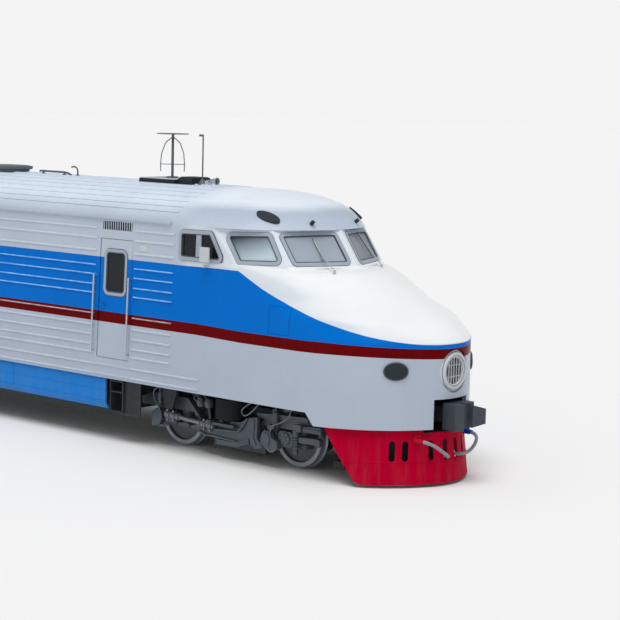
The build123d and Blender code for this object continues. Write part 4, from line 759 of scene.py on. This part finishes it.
def corner_point(x, z):
    """A point of the cab's corner glass plane, left side."""
    rise = (z - GLASS_FOOT) / (GUTTER - GLASS_FOOT)
    y = 1.12 - (CORNER_LEAN * rise + CORNER_OUT.x * (x - 1.2)) / CORNER_OUT.y
    return Vector((PIVOT + x, y, z))


def side_point(x, z):
    """A point of the cab side window's plane, left side."""
    return Vector((PIVOT + x, wall_y(z) - 0.02 * (x + 0.75), z))


def wall_point(x, z):
    return Vector((x, wall_y(z), z))


FRONT_PANE, CORNER_PANE, SIDE_PANE = (
    [point(along, z) for along, z in corners]
    for point, corners in (
        (front_point, ((0.090, 3.117), (1.032, 3.117), (1.034, 3.603), (0.095, 3.617))),
        (corner_point, ((1.148, 3.125), (0.455, 3.107), (0.105, 3.585), (0.826, 3.610))),
        (side_point, ((0.255, 3.095), (-0.750, 3.100), (-0.760, 3.575), (-0.060, 3.590))),
    )
)
SALOON_X = [REAR_END + 3.318 + 1.9 * i for i in range(6)]


def wall_window(x, half, low, high):
    """The corners of an opening in the wall."""
    corners = ((x + half, low), (x - half, low), (x - half, high), (x + half, high))
    return [wall_point(a, z) for a, z in corners]


def seal(corners, radius, margin, proud):
    """The dark lip between a frame and its pane, and the joint round the frame's outside."""
    inner = [
        (margin - 0.006, proud), (margin - 0.004, proud + 0.004), (margin + 0.006, proud + 0.002),
        (margin + 0.012, -0.009), (margin - 0.002, -0.009),
    ]
    outer = [(-0.007, 0.0005), (-0.005, 0.004), (0.001, proud * 0.8), (0.002, 0.0005)]
    return [outline_ring(corners, inner, radius), outline_ring(corners, outer, radius)]


cab_seals = [*seal(FRONT_PANE, 0.092, 0.066, 0.010), *seal(CORNER_PANE, 0.092, 0.066, 0.010)]
cab_seals += seal(SIDE_PANE, 0.095, 0.066, 0.024)
for x in SALOON_X:
    cab_seals += seal(wall_window(x, 0.65, 2.175, 2.975), 0.120, 0.062, 0.012)
piece("window_seals", *joined([*cab_seals, *map(flipped, cab_seals)]), SEAL, "window_rubber")
crew_window = wall_window(7.215, 0.273, 2.40, 3.16)
entry_window = wall_window(-11.75, 0.230, 2.25, 3.10)
RIM = [(0.0, 0.001), (0.004, 0.010), (0.010, 0.013), (0.046, 0.013), (0.054, 0.009), (0.057, 0.002)]
for part, crew_part, entry_part, material in (
    ("rim", *(outline_ring(corners, RIM, 0.120) for corners in (crew_window, entry_window)), FRAME),
    ("seal", *(joined(seal(corners, 0.120, 0.062, 0.008)) for corners in (crew_window, entry_window)), SEAL),
):
    piece(f"crew_door_{part}_left", *crew_part, material, "window_rubber", "crew_door_left")
    piece(f"crew_door_{part}_right", *flipped(crew_part), material, "window_rubber", "crew_door_right")
    piece(f"entry_door_{part}s", *both_sides(entry_part), material, "window_rubber")

# Round lamp: a fluted dark lens behind the bars, a seat, a bezel with a groove, and a joint

LAMP_X, LAMP_Z = PIVOT + 3.455, 1.702
FORWARD, UP = (1, 0, 0), (0, 0, 1)
FLUTES, LENS_RADIUS = 96, 0.236
rings = [0.012, 0.060, 0.110, 0.160, 0.205, LENS_RADIUS]
lens_verts = []
for r in rings:
    for k in range(FLUTES):
        a = 2 * math.pi * k / FLUTES
        flute = 0.006 * (k % 2) * min(r / 0.1, 1.0)
        bulge = 0.030 * (1 - (r / LENS_RADIUS) ** 2)
        lens_verts.append((LAMP_X + 0.004 + bulge - flute, r * math.sin(a), LAMP_Z + r * math.cos(a)))
lens_faces = [tuple(range(FLUTES))]
for j in range(0, (len(rings) - 1) * FLUTES, FLUTES):
    for k in range(FLUTES):
        m = (k + 1) % FLUTES
        lens_faces.append((j + k, j + m, j + FLUTES + m, j + FLUTES + k))
piece("headlamp_lens", lens_verts, lens_faces, LENS_DARK, "lamp_glass", smooth=12)
# Turned rings of the lamp. Columns: name, ahead of the lens, sides, material, slot, profile
LAMP_RINGS = [
    ("seat", 0.112, 48, PLATE, "lamp_grille",
     [(-0.108, 0.2385), (-0.030, 0.2385), (-0.010, 0.246), (0.002, 0.262), (-0.004, 0.266),
      (-0.012, 0.2395)]),
    ("bezel", 0.0, 64, PLATE, "lamp_grille",
     [(0.0805, 0.2385), (0.098, 0.2360), (0.101, 0.2200), (0.100, 0.2080), (0.092, 0.1985),
      (0.0805, 0.1965)]),
    ("groove", 0.0, 64, SEAL, "window_rubber",
     [(0.1005, 0.2215), (0.1022, 0.2210), (0.1022, 0.2160), (0.1005, 0.2155)]),
    ("joint", 0.0755, 48, SEAL, "window_rubber",
     [(-0.004, 0.281), (0.0045, 0.2825), (0.0045, 0.288), (-0.004, 0.289)]),
]
for name, ahead, sides, material, slot, profile in LAMP_RINGS:
    ring = turned_shape((LAMP_X + ahead, 0, LAMP_Z), FORWARD, profile, sides, True)
    piece(f"headlamp_{name}", *ring, material, slot)

# Dark rims round the oval lamps on the nose

MARKER_AT, MARKER_TURN = Vector((PIVOT + 3.158, -0.905, 1.733)), math.radians(-43.3)
MARKER_WIDE, MARKER_HIGH = 0.182, 0.1325
marker_out = Vector((math.cos(MARKER_TURN), math.sin(MARKER_TURN), 0))
marker_across = Vector((-marker_out.y, marker_out.x, 0))
marker_loops = []
for grow, lift in ((0.003, -0.006), (0.005, 0.012), (-0.004, 0.020), (-0.012, 0.018), (-0.013, 0.010)):
    loop = []
    for k in range(56):
        a = 2 * math.pi * k / 56
        across, up = (MARKER_WIDE + grow) * math.cos(a), (MARKER_HIGH + grow) * math.sin(a)
        loop.append(MARKER_AT + marker_across * across + Vector((0, 0, up)) + marker_out * lift)
    marker_loops.append(loop)
piece("marker_rims", *both_sides(closed_loops(marker_loops, True)), SEAL, "window_rubber")

# Coupler pocket and pilot: black plates inside stand in for the shade seen through the cut-out and the slots


def pocket_wall(y0, y1, z0, z1):
    """A thin upright plate across the car at the back of the pocket."""
    corners = [(y0, z0), (y1, z0), (y1, z1), (y0, z1)]
    loops = [[Vector((PIVOT + 2.990 + off, y, z)) for y, z in corners] for off in (0.0, 0.006)]
    return closed_loops(loops)


walls = ((-0.62, -0.150, 0.70, 1.345), (0.150, 0.62, 0.70, 1.345), (-0.150, 0.150, 0.70, 0.885),
         (-0.150, 0.150, 1.205, 1.345))
back = [pocket_wall(*wall) for wall in walls]
cheek = [(PIVOT + x, z) for x, z in ((2.996, 0.80), (3.30, 0.80), (3.30, 1.34), (2.996, 1.34))]
fin = [(PIVOT + x, z) for x, z in ((2.998, 0.90), (3.12, 0.93), (3.12, 1.22), (2.998, 1.25))]
for side in (-1, 1):
    back.append(side_plate(cheek, side * 0.545, 0.010))
    back += [side_plate(fin, side * y, 0.020) for y in (0.36, 0.22)]
piece("pocket_shade_sheets", *joined(back), BLACK, "underframe_grey")
PILOT_FOOT, PILOT_TOP, PILOT_LEAN = 0.085, 0.850, 0.080


def pilot_line(z, extra):
    """The pilot's outline at a height, moved out by extra."""
    lean = PILOT_LEAN * (z - PILOT_FOOT) / (PILOT_TOP - PILOT_FOOT)
    half = nose_line(HOOD_SEAM, extra - lean, 1.9)
    return [(PIVOT + x, y + (wall_y(PILOT_FOOT) - wall_y(HOOD_SEAM)) * (y / 1.53), z) for x, y in half]


def mirrored(half):
    """A line on the left, and the same line back on the right."""
    return half + [Vector((p.x, -p.y, p.z)) for p in reversed(half[:-1])]


def pilot_row(z, extra, back):
    """The pilot's outline from side to side, as far back as a length ahead of the pivot."""
    return mirrored([Vector(p) for p in pilot_line(z, extra) if p[0] > PIVOT + back])


# A black shelf that stands in for the shade in the gap between the nose and the pilot
SHELF_X, SHELF_Y, SHELF_Z, SHELF_THICK = PIVOT + 2.998, 0.62, 0.744, 0.062
shelf = mirrored([Vector(p) for p in pilot_line(SHELF_Z, -0.03) if abs(p[1]) < SHELF_Y])
shelf = [Vector((SHELF_X, SHELF_Y, SHELF_Z)), *shelf, Vector((SHELF_X, -SHELF_Y, SHELF_Z))]
shelf = closed_loops([shelf, [p + Vector((0, 0, SHELF_THICK)) for p in shelf]])
piece("pocket_shade_floor", *shelf, BLACK, "underframe_grey", smooth=0)
# A black sheet inside the pilot that stands in for the shade behind its slots
shade_sheet = [pilot_row(z, -0.21, 2.80) for z in (0.20, 0.655)]
piece("pilot_shade_sheet", *curtain(shade_sheet), BLACK, "underframe_grey")
line = pilot_row(0.350, 0.0, 2.56)
bolts = []
run, due = 0.0, 0.10
for a, b in zip(line, line[1:]):
    while due < run + (b - a).length:
        at = a.lerp(b, (due - run) / (b - a).length)
        out = Vector(UP).cross(b - a).normalized()
        out = out if out.dot(at - Vector((PIVOT + 2.0, 0, at.z))) > 0 else -out
        bolts.append(turned_shape(at, out, [(-0.008, 0.016), (0.010, 0.015), (0.016, 0.009)], 6))
        due += 0.25
    run += (b - a).length
piece("pilot_bolts", *joined(bolts), CRIMSON, "pilot_crimson")
seam = [pilot_row(z, extra, 2.56) for z, extra in ((0.363, 0.0012), (0.375, 0.008), (0.387, 0.0035))]
piece("pilot_seam", *curtain(seam), CRIMSON, "pilot_crimson")
folds = ((0.092, 0.002), (0.050, 0.004), (0.048, -0.012), (0.092, -0.016))
edge = [pilot_row(z, extra, 2.73) for z, extra in folds]
piece("pilot_edge", *curtain(edge), CRIMSON, "pilot_crimson")

# Cowl: the sheet that carries the hood up to the foot of the cab's panes


def along_line(points, count):
    """Points at equal steps along a line."""
    lengths = [0.0]
    for a, b in zip(points, points[1:]):
        lengths.append(lengths[-1] + (b - a).length)
    result = []
    for k in range(count):
        at = lengths[-1] * k / (count - 1)
        i = max(0, min(len(points) - 2, sum(n <= at for n in lengths) - 1))
        share = (at - lengths[i]) / (lengths[i + 1] - lengths[i])
        result.append(points[i].lerp(points[i + 1], share))
    return result


def cowl_row(share):
    """One row of the cowl, from the hood at 0 to the glass planes at 1, left side."""
    foot = [Vector((PIVOT + x, y, 3.046)) for x, y in nose_line(3.046, 0.0015, 0.10)]
    corners = ((-0.05, 1.500), (0.40, 1.457), (1.201, 1.122), (1.656, 0.0))
    head = [Vector((PIVOT + x, y, 3.112)) for x, y in corners]
    sag = Vector((0, 0, 0.010 * math.sin(math.pi * share)))
    return [a.lerp(b, share) - sag for a, b in zip(along_line(foot, 61), along_line(head, 61))]


cowl = curtain([mirrored(cowl_row(i / 6)) for i in range(7)])
piece("cab_cowl", *cowl, LIVERY, "body_white", smooth=50)

# Divider of the cab side windows, and the wiper blades

divider = []
for lift, grow in ((-0.006, 0.0), (0.016, 0.0), (0.020, -0.006)):
    front, rear = -0.280 + grow, -0.385 - grow
    corners = ((front, 3.165), (rear, 3.168), (rear, 3.520), (front, 3.518))
    divider.append([side_point(x, z) + Vector((0, lift, 0)) for x, z in corners])
piece("side_window_dividers", *both_sides(closed_loops(divider)), FRAME, "window_rubber")

WIPER_OUT = 0.024
# Foot and top of each blade, ahead of the pivot, across and up
WIPERS = [((1.369, -0.532, 3.209), (1.158, -0.529, 3.507)), ((1.293, 0.715, 3.211), (1.102, 0.580, 3.557))]
blades = []
for foot, top in WIPERS:
    shift = Vector((FRONT_OUT.x, math.copysign(FRONT_OUT.y, foot[1]), 0)) * WIPER_OUT
    foot, top = (Vector((PIVOT + x, y, z)) + shift for x, y, z in (foot, top))
    blades.append(tube([foot.lerp(top, share) for share in (-0.04, 0.5, 1.04)], 0.009, 6))
piece("wiper_blades", *joined(blades), BLACK, "black_plastic")

# Small roof gear: a hook, a bar on two feet and a low cover

ROOF_TOP = 4.200
HOOK_Y, BAR_Y = -0.10, -0.05
hook = [(4.670, ROOF_TOP - 0.01), (4.672, 4.290), (4.640, 4.345), (4.580, 4.360), (4.510, 4.352)]
bar = [(3.600, 4.246), (3.660, 4.250), (4.260, 4.250), (4.350, 4.240), (4.440, 4.212)]
foot = [(0, 0.050), (0.006, 0.050), (0.012, 0.024), (0.030, 0.020)]
fittings = [
    tube(smooth_path([(x, HOOK_Y, z) for x, z in hook]), 0.014),
    tube([(x, BAR_Y, z) for x, z in bar], 0.018),
]
cover = []
for z, grow in ((ROOF_TOP - 0.03, 0.0), (4.235, 0.0), (4.255, 0.05), (4.300, 0.05), (4.315, -0.02)):
    loop = []
    for k in range(40):
        a = 2 * math.pi * k / 40
        x, y = (math.copysign(abs(part) ** 0.5, part) for part in (math.cos(a), math.sin(a)))
        loop.append(Vector((2.650 + (0.36 + grow) * x, (0.30 + grow) * y, z)))
    cover.append(loop)
fittings.append(closed_loops(cover))
for x, y in ((4.670, HOOK_Y), (3.700, BAR_Y), (4.260, BAR_Y)):
    fittings.append(turned_shape((x, y, ROOF_TOP), UP, foot, 18))
piece("roof_fittings", *joined(fittings), ANTENNA, "antenna_dark")

# Blank plates on the walls

plate = []
for grow, lift in ((0.0, 0.0005), (0.0, 0.006), (-0.004, 0.008)):
    front, rear, low, high = PIVOT - 1.475 + grow, PIVOT - 1.636 - grow, 3.165 - grow, 3.264 + grow
    corners = ((front, low), (rear, low), (rear, high), (front, high))
    plate.append([wall_point(x, z) + Vector((0, lift, 0)) for x, z in corners])
piece("blank_plates", *both_sides(closed_loops(plate)), PLATE, "body_white", smooth=0)

# Seats: one upholstered form each, crowned between its seams, on a pair of legs

# Outline of the upholstery seen from the side. Columns: ahead in depths, up in heights
SEAT_LINE = [
    (0.44, 0.315), (0.485, 0.350), (0.480, 0.410), (0.42, 0.436), (0.10, 0.418), (-0.20, 0.408),
    (-0.290, 0.440), (-0.345, 0.580), (-0.410, 0.800), (-0.470, 0.950), (-0.515, 0.990), (-0.590, 0.990),
    (-0.640, 0.950), (-0.570, 0.680), (-0.490, 0.400), (-0.435, 0.330), (-0.30, 0.312), (0.10, 0.308),
]
# Points of the smoothed outline that lie on the cushion's and the back's front face
SOFT_FROM, SOFT_TO = 10, 44
SIDE_EDGE = 0.045


def seat_form(x, y, floor, height, depth, width, places):
    """A cushion and a back in one closed form, with seams between the places and round the edge."""
    line = [Vector((a * depth, b * height)) for a, b in SEAT_LINE]
    count = len(line)
    outline = []
    for i in range(count):
        four = line[i - 1], line[i], line[(i + 1) % count], line[(i + 2) % count]
        outline += [curve_point(*four, t) for t in (0.0, 0.25, 0.5, 0.75)]
    normals = []
    for i in range(len(outline)):
        run = outline[(i + 1) % len(outline)] - outline[i - 1]
        normals.append(Vector((-run.y, run.x)).normalized())
    stations = 16 * places + 9
    half = width / 2 - 0.006
    loops = []
    for j in range(stations):
        share = -1 + 2 * j / (stations - 1)
        across = half * math.copysign(abs(share) ** 0.8, share)
        edge = max(0.0, abs(across) - (half - SIDE_EDGE)) / SIDE_EDGE
        pull = 0.034 * (1 - math.sqrt(max(0.0, 1 - edge**2)))
        place = (across + half) / (2 * half) * places
        place -= min(math.floor(place), places - 1)
        crown = 0.010 * math.sin(math.pi * place)
        seam = 0.0
        if edge == 0:
            seam = 0.012 * math.exp(-((min(place, 1 - place) * 2 * half / places) / 0.016) ** 2)
        for k in (1 / 3, 2 / 3):
            seam += 0.005 * math.exp(-(((place - k) * 2 * half / places) / 0.010) ** 2)
        loop = []
        for i, p in enumerate(outline):
            soft = 1.0 if SOFT_FROM <= i <= SOFT_TO else 0.2
            q = p + normals[i] * (pull + (seam - crown + 0.010) * soft)
            loop.append(Vector((x + q.x, y + across, floor + q.y)))
        loops.append(loop)
    return closed_loops(loops)


def seat_legs(x, y, floor, height, depth, width):
    """The two legs under a seat."""
    top = floor + 0.30 * height
    corners = ((-0.19, floor), (0.19, floor), (0.15, top), (-0.15, top))
    leg = [(x + share * depth, z) for share, z in corners]
    return [side_plate(leg, y + side * width * 0.36, 0.030) for side in (-1, 1)]


# Columns: name, node, place along and across, floor, height, depth, width, places
SEATS = [
    (f"driver_seat_{i}", "driver_seats", PIVOT + 0.25, y, 2.12, 1.05, 0.56, 0.52, 1)
    for i, y in enumerate((-0.56, 0.56))
]
for x in SALOON_X:
    for offset in (-0.47, 0.47):
        for y in (-0.87, 0.87):
            name = f"saloon_seat_{len(SEATS) - 2}"
            SEATS.append((name, "saloon_seats", x + offset, y, 1.38, 1.12, 0.56, 1.02, 2))
legs = []
for name, node, *sizes, places in SEATS:
    cushion = piece(name, *seat_form(*sizes, places), SEAT, "seat_cloth", smooth=60)
    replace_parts(cushion, node)
    legs += seat_legs(*sizes)
piece("seat_legs", *joined(legs), BLACK, "cab_trim")

# Brake hoses: the cock and pipe at each corner, the hose and its coupling head

COCK_Y, COCK_Z, RISER = 0.600, 0.700, 0.434
HOSE_WIDE, HOSE_LONG = 0.052, 0.860
# Route of a hose. Columns: forward of the pivot, across, height
HOSE_ROUTE = [
    (3.430, COCK_Y, COCK_Z), (3.520, 0.590, 0.694), (3.630, 0.510, 0.640), (3.672, 0.370, 0.540),
    (3.660, 0.230, 0.462), (3.560, 0.132, 0.438), (3.420, 0.113, 0.436),
]
# Profiles along their own axis. Columns: distance, radius
COCK = [
    (0.0, 0.012), (0.0, 0.024), (0.300, 0.024), (0.302, 0.034), (0.372, 0.034), (0.376, 0.041),
    (0.420, 0.043), (0.424, 0.034), (0.448, 0.033), (0.452, 0.040), (0.500, 0.040), (0.504, 0.031),
    (0.548, 0.030), (0.552, 0.0262),
]
HANDLE_STEM = [(0.020, 0.024), (0.060, 0.022), (0.064, 0.014), (0.086, 0.012)]
HOSE_HEAD = [
    (-0.040, 0.020), (-0.036, 0.034), (-0.010, 0.036), (-0.006, 0.028), (0.012, 0.028), (0.016, 0.0365),
    (0.040, 0.034),
]


def hose_fittings(start, facing):
    """The stub pipe behind the beam, and the cock's body with its lever and nut."""
    back = start - Vector((0.510 * facing, 0, 0))
    at = start - Vector((0.112 * facing, 0, 0))
    lever = [at + Vector((x * facing, 0, z)) for x, z in ((0.0, 0.074), (0.045, 0.078), (0.100, 0.066))]
    riser = [(0, 0.022), (0.001, 0.024), (RISER, 0.024)]
    return [
        turned_shape(back, (facing, 0, 0), COCK, 28),
        turned_shape(at, UP, HANDLE_STEM, 20),
        tube(smooth_path(lever), 0.009),
        turned_shape(back + Vector((0, 0, -0.024)), UP, riser, 20),
    ]


cock_parts = []
for i, (side, facing) in enumerate(((-1, 1), (1, 1), (-1, -1), (1, -1))):
    route = [Vector(((PIVOT + x) * facing, side * y * facing, z)) for x, y, z in HOSE_ROUTE]
    data = bpy.data.curves.new(f"brake_hose_{i}", "CURVE")
    data.dimensions = "3D"
    data.bevel_depth = HOSE_WIDE / 2
    data.bevel_resolution = 5
    data.resolution_u = 16
    data.use_fill_caps = True
    spline = data.splines.new("NURBS")
    spline.points.add(len(route) - 1)
    for point, place in zip(spline.points, route):
        point.co = (*place, 1.0)
    spline.use_endpoint_u = True
    spline.order_u = 3
    data.materials.append(HOSE_GREY)
    hose = placed(f"brake_hose_{i}", data)
    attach(hose, "carbody")
    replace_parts(hose, "brake_hoses")
    end = route[-1]
    head = turned_shape(end, route[-2] - end, HOSE_HEAD, 20)
    coupling = piece(f"hose_coupling_{i}", *head, COUPLER, "hose_rubber")
    cock_parts += hose_fittings(route[0], facing)
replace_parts(piece("brake_cocks", *joined(cock_parts), HOSE, "hose_rubber"), "brake_hoses")

# Bogies: the small pieces on the sides, drawn for the front right side about the bogie's centre

BOGIE_SIDE_Y = -1.200
SPRING_Y, COVER_Y, COVER_BOLT_Y = -1.030, -1.148, -1.170
# Plates in millimetres. Columns: outline in length and height, off the side plane, thickness
BOGIE_PLATES = [
    ([(-786, 421), (-614, 478), (-458, 455), (-209, 440), (307, 467), (366, 502), (539, 724), (600, 700),
      (563, 376), (311, 296), (220, 316), (-207, 333), (-392, 329), (-549, 375)], 35, 40),
    ([(-549, 375), (-392, 329), (-207, 333), (220, 316), (311, 296), (563, 376), (563, 402), (311, 322),
      (220, 342), (-207, 359), (-392, 355), (-540, 401)], 0, 55),
    ([(-209, 440), (307, 467), (366, 502), (539, 724), (515, 738), (348, 524), (298, 491),
      (-209, 464)], 0, 55),
    ([(-213, 578), (317, 628), (494, 739), (530, 720), (340, 480), (-210, 444)], 70, 20),
    ([(-145, 310), (205, 309), (548, 376), (550, 328), (313, 243), (-143, 228)], 15, 60),
    ([(568, 738), (744, 777), (744, 577), (739, 445), (860, 320), (787, 288), (684, 279), (603, 338),
      (580, 510), (506, 605)], -10, 60),
    ([(620, 720), (690, 735), (690, 560), (675, 440), (745, 332), (700, 322), (648, 362), (630, 520),
      (572, 610)], -46, 16),
    ([(881, 596), (998, 590), (1044, 488), (1146, 459), (1165, 332), (992, 274), (799, 377),
      (824, 533)], 15, 100),
    ([(900, 560), (980, 560), (1010, 470), (985, 340), (850, 400), (860, 520)], -40, 20),
    ([(925, 600), (1035, 610), (1035, 690), (925, 690)], 20, 60),
    ([(950, 325), (1115, 305), (1135, 345), (1060, 375)], 10, 70),
    ([(1467, 763), (1622, 773), (1626, 656), (1470, 645)], 0, 60),
    ([(1600, 746), (1990, 766), (1994, 666), (1600, 656)], 45, 70),
    ([(1600, 716), (1960, 735), (1963, 700), (1600, 682)], 4, 16),
    ([(1560, 575), (1990, 598), (1994, 495), (1560, 488)], 30, 70),
    ([(1930, 590), (2000, 598), (2004, 480), (1930, 475)], 0, 50),
    ([(625, 823), (1675, 876), (1678, 781), (657, 739)], 90, 30),
    ([(640, 823), (1675, 876), (1676, 852), (642, 800)], 68, 30),
    ([(-1600, 560), (-1497, 633), (-1399, 600), (-1380, 465), (-1426, 356), (-1600, 325)], 0, 40),
    ([(-1440, 330), (-1200, 365), (-1195, 395), (-1440, 362)], 0, 40),
]
# Bent pipes in millimetres. Columns: points in length, off the side plane and height, radius
CLAMP_PIPE = ([(955, -30, 318), (1010, -40, 288), (1075, -40, 292), (1120, -30, 325)], 11)
BOGIE_PIPES = [
    ([(-640, 20, 960), (-650, -20, 905), (-600, -20, 860), (-565, 0, 850)], 10),
    ([(-560, 20, 900), (-620, 0, 975), (-760, 0, 985), (-900, 10, 975)], 9),
    ([(-1450, 20, 980), (-1530, -20, 935), (-1560, -30, 850), (-1520, -30, 750), (-1450, -20, 670),
      (-1430, -10, 600)], 11),
    ([(580, 30, 985), (474, 0, 912), (401, -20, 837), (448, -30, 766), (537, -20, 789), (623, 0, 866),
      (700, 30, 960)], 13),
    ([(1390, 30, 975), (1350, -10, 843), (1210, -30, 749), (1067, -30, 686), (998, -20, 590)], 13),
]
AXLE_COVER = [(0, 0.098), (0.014, 0.098), (0.026, 0.086), (0.030, 0.050), (0.036, 0.046), (0.036, 0.004)]
BELLOWS_RING = [(0, 0.040), (0.006, 0.054), (0.026, 0.054), (0.032, 0.040)]
DAMPER = [
    (0, 0.030), (0.02, 0.045), (0.05, 0.045), (0.05, 0.036), (0.30, 0.036), (0.30, 0.050), (0.37, 0.050),
]
ROD_RIBS = (0.052, 0.066, 0.066, 0.048, 0.064, 0.064, 0.050, 0.060)
INWARD, OUTWARD = (0, 1, 0), (0, -1, 0)


def bent_pipe(points, radius):
    """One of the bogie's pipes, from millimetres."""
    path = [(x / 1000, BOGIE_SIDE_Y + out / 1000, z / 1000) for x, out, z in points]
    return tube(smooth_path(path), radius / 1000, 8)


def bogie_side():
    """Dark and bright shapes and pipes on one side of a bogie. Metres from the pivot, at the right side."""
    y = BOGIE_SIDE_Y
    dark, bright = [], []
    for axle in (-WHEELBASE / 2, WHEELBASE / 2):
        for x in (axle - 0.29, axle + 0.29):
            dark.append(coil(x, SPRING_Y, 0.445, 0.637, 0.078, 0.012, 4.5))
            for z in (0.446, 0.632):
                dark.append(turned_shape((x, SPRING_Y, z - 0.006), UP, [(0, 0.096), (0.012, 0.096)], 20))
        dark.append(turned_shape((axle, COVER_Y, AXLE_Z), OUTWARD, AXLE_COVER, 24))
        for k in range(6):
            a = math.pi * k / 3
            at = (axle + 0.072 * math.cos(a), COVER_BOLT_Y, AXLE_Z + 0.072 * math.sin(a))
            bright.append(turned_shape(at, OUTWARD, [(0, 0.010), (0.012, 0.010)], 6))
    for outline, out, depth in BOGIE_PLATES:
        outline = [(x / 1000, z / 1000) for x, z in outline]
        dark.append(side_plate(outline, y + out / 1000, depth / 1000, 0.006, 0.014))
    bright.append(bent_pipe(*CLAMP_PIPE))
    for z in (0.395, 0.440, 0.485, 0.530, 0.575):
        dark.append(turned_shape((1.500, y + 0.01, z), UP, BELLOWS_RING, 20))
    dark.append(turned_shape((1.500, y + 0.01, 0.300), UP, DAMPER, 20))
    stem = [(0, 0.024), (0.05, 0.024), (0.05, 0.018), (0.30, 0.018)]
    dark.append(turned_shape((1.050, y, 0.640), UP, stem, 14))
    for x, z, inward in ((-1.295, 0.562, 1), (-0.205, 0.496, -1)):
        collar = [(0.0, 0.034)]
        for k, wide in enumerate(ROD_RIBS):
            at = 0.006 + k * 0.040
            collar += [(at, wide - 0.020), (at + 0.005, wide), (at + 0.026, wide), (at + 0.031, wide - 0.020)]
        bright.append(turned_shape((x, y, z), (1, 0, -0.06), [(inward * a, r) for a, r in collar], 28))
        clamp = [(0, 0.018), (0.085, 0.018), (0.090, 0.012)]
        for up in (-0.072, 0.072):
            for along in (0.07, 0.20):
                at = (x + along * inward, y - 0.045, z + up - 0.06 * along * inward)
                bright.append(turned_shape(at, INWARD, clamp, 10))
    bright.append(tube([(-1.10, y, 0.5503), (-0.40, y, 0.5083)], 0.036, 18))
    for x, half in ((-0.530, 0.050), (-0.355, 0.048)):
        valve = [(-half, 0.765), (half, 0.765), (half + 0.01, 0.86), (half - 0.01, 0.925),
                 (-half + 0.01, 0.925), (-half - 0.01, 0.86)]
        dark.append(side_plate([(x + a, z) for a, z in valve], y + 0.02, 0.090, 0.015, 0.02))
        cap = [(0, 0.046), (0.012, 0.044), (0.018, 0.030), (0.020, 0.008)]
        dark.append(turned_shape((x, y - 0.025, 0.845), OUTWARD, cap, 20))
    return dark, bright, [bent_pipe(*pipe) for pipe in BOGIE_PIPES]


dark, bright, pipes = (joined(part) for part in bogie_side())
for name in ("front", "rear"):
    for label, shape, material, slot in (
        ("gear", dark, BOGIE, "bogie_grey"),
        ("rod_ends", bright, DULL_STEEL, "rail_steel"),
        ("pipes", pipes, HOOP, "bogie_grey"),
    ):
        whole = joined([shifted(shape, PIVOT), shifted(flipped(shape), PIVOT)])
        if name == "rear":
            whole = turned_round(whole)
        piece(f"bogie_{label}_{name}", *whole, material, slot, f"bogie_{name}", smooth=40)

# Stage, light and camera

FLOOR_REACH, FLOOR_GREY = 400, 0.885
corners = [(-1, -1), (1, -1), (1, 1), (-1, 1)]
floor_mesh = bpy.data.meshes.new("studio_floor")
floor_mesh.from_pydata([(FLOOR_REACH * x, FLOOR_REACH * y, 0) for x, y in corners], [], [(0, 1, 2, 3)])
floor = placed("studio_floor", floor_mesh)
s = Shader("studio_floor")
s.principled(Base_Color=(FLOOR_GREY,) * 3, Roughness=0.9, Specular_IOR_Level=0.0)
floor_mesh.materials.append(s.material)
world = bpy.data.worlds.new("studio")
bpy.context.scene.world = world
world.use_nodes = True
tree = world.node_tree
tree.nodes.clear()
kinds = ("TexCoord", "SeparateXYZ", "ValToRGB", "Background", "OutputWorld")
place, split, ramp, background, out = (tree.nodes.new("ShaderNode" + kind) for kind in kinds)
tree.links.new(place.outputs["Generated"], split.inputs[0])
tree.links.new(split.outputs[2], ramp.inputs[0])
tree.links.new(ramp.outputs[0], background.inputs[0])
tree.links.new(background.outputs[0], out.inputs[0])
# Brightness by height above the horizon. Columns: sine of the height, brightness
SKY = [(0.0, 0.896), (0.10, 0.896), (0.28, 0.42), (0.60, 0.42), (1.0, 0.62)]
elements = ramp.color_ramp.elements
while len(elements) < len(SKY):
    elements.new(0.5)
for element, (at, level) in zip(elements, SKY):
    element.position = at
    element.color = (level, level, level, 1.0)

sun_data = bpy.data.lights.new("soft_key", "SUN")
sun_data.energy = 1.75
sun_data.angle = math.radians(38)
sun = placed("soft_key", sun_data)
sun.rotation_euler = (math.radians(19), math.radians(12), 0.0)

CAMERA_AT = Vector((28.785, -21.348, 5.607))
AZIMUTH, PITCH, ROLL = math.radians(41.227), math.radians(6.573), math.radians(-1.381)
FOCAL_PIXELS, PICTURE_PIXELS, SENSOR = 1813.633, 620.0, 36.0
level = Vector((-math.sin(AZIMUTH), math.cos(AZIMUTH), 0))
forward = level * math.cos(PITCH) - Vector((0, 0, math.sin(PITCH)))
right = forward.cross(Vector(UP)).normalized()
down = forward.cross(right)
right, down = (
    right * math.cos(ROLL) + down * math.sin(ROLL),
    down * math.cos(ROLL) - right * math.sin(ROLL),
)
lens = bpy.data.cameras.new("photo_camera")
lens.sensor_width = SENSOR
lens.lens = FOCAL_PIXELS * SENSOR / PICTURE_PIXELS
lens.clip_start = 0.5
lens.clip_end = 2000.0
camera = placed("photo_camera", lens)
turn = Matrix((right, -down, -forward)).transposed()
camera.matrix_world = Matrix.Translation(CAMERA_AT) @ turn.to_4x4()
bpy.context.scene.camera = camera
bpy.context.scene.view_settings.view_transform = "Standard"
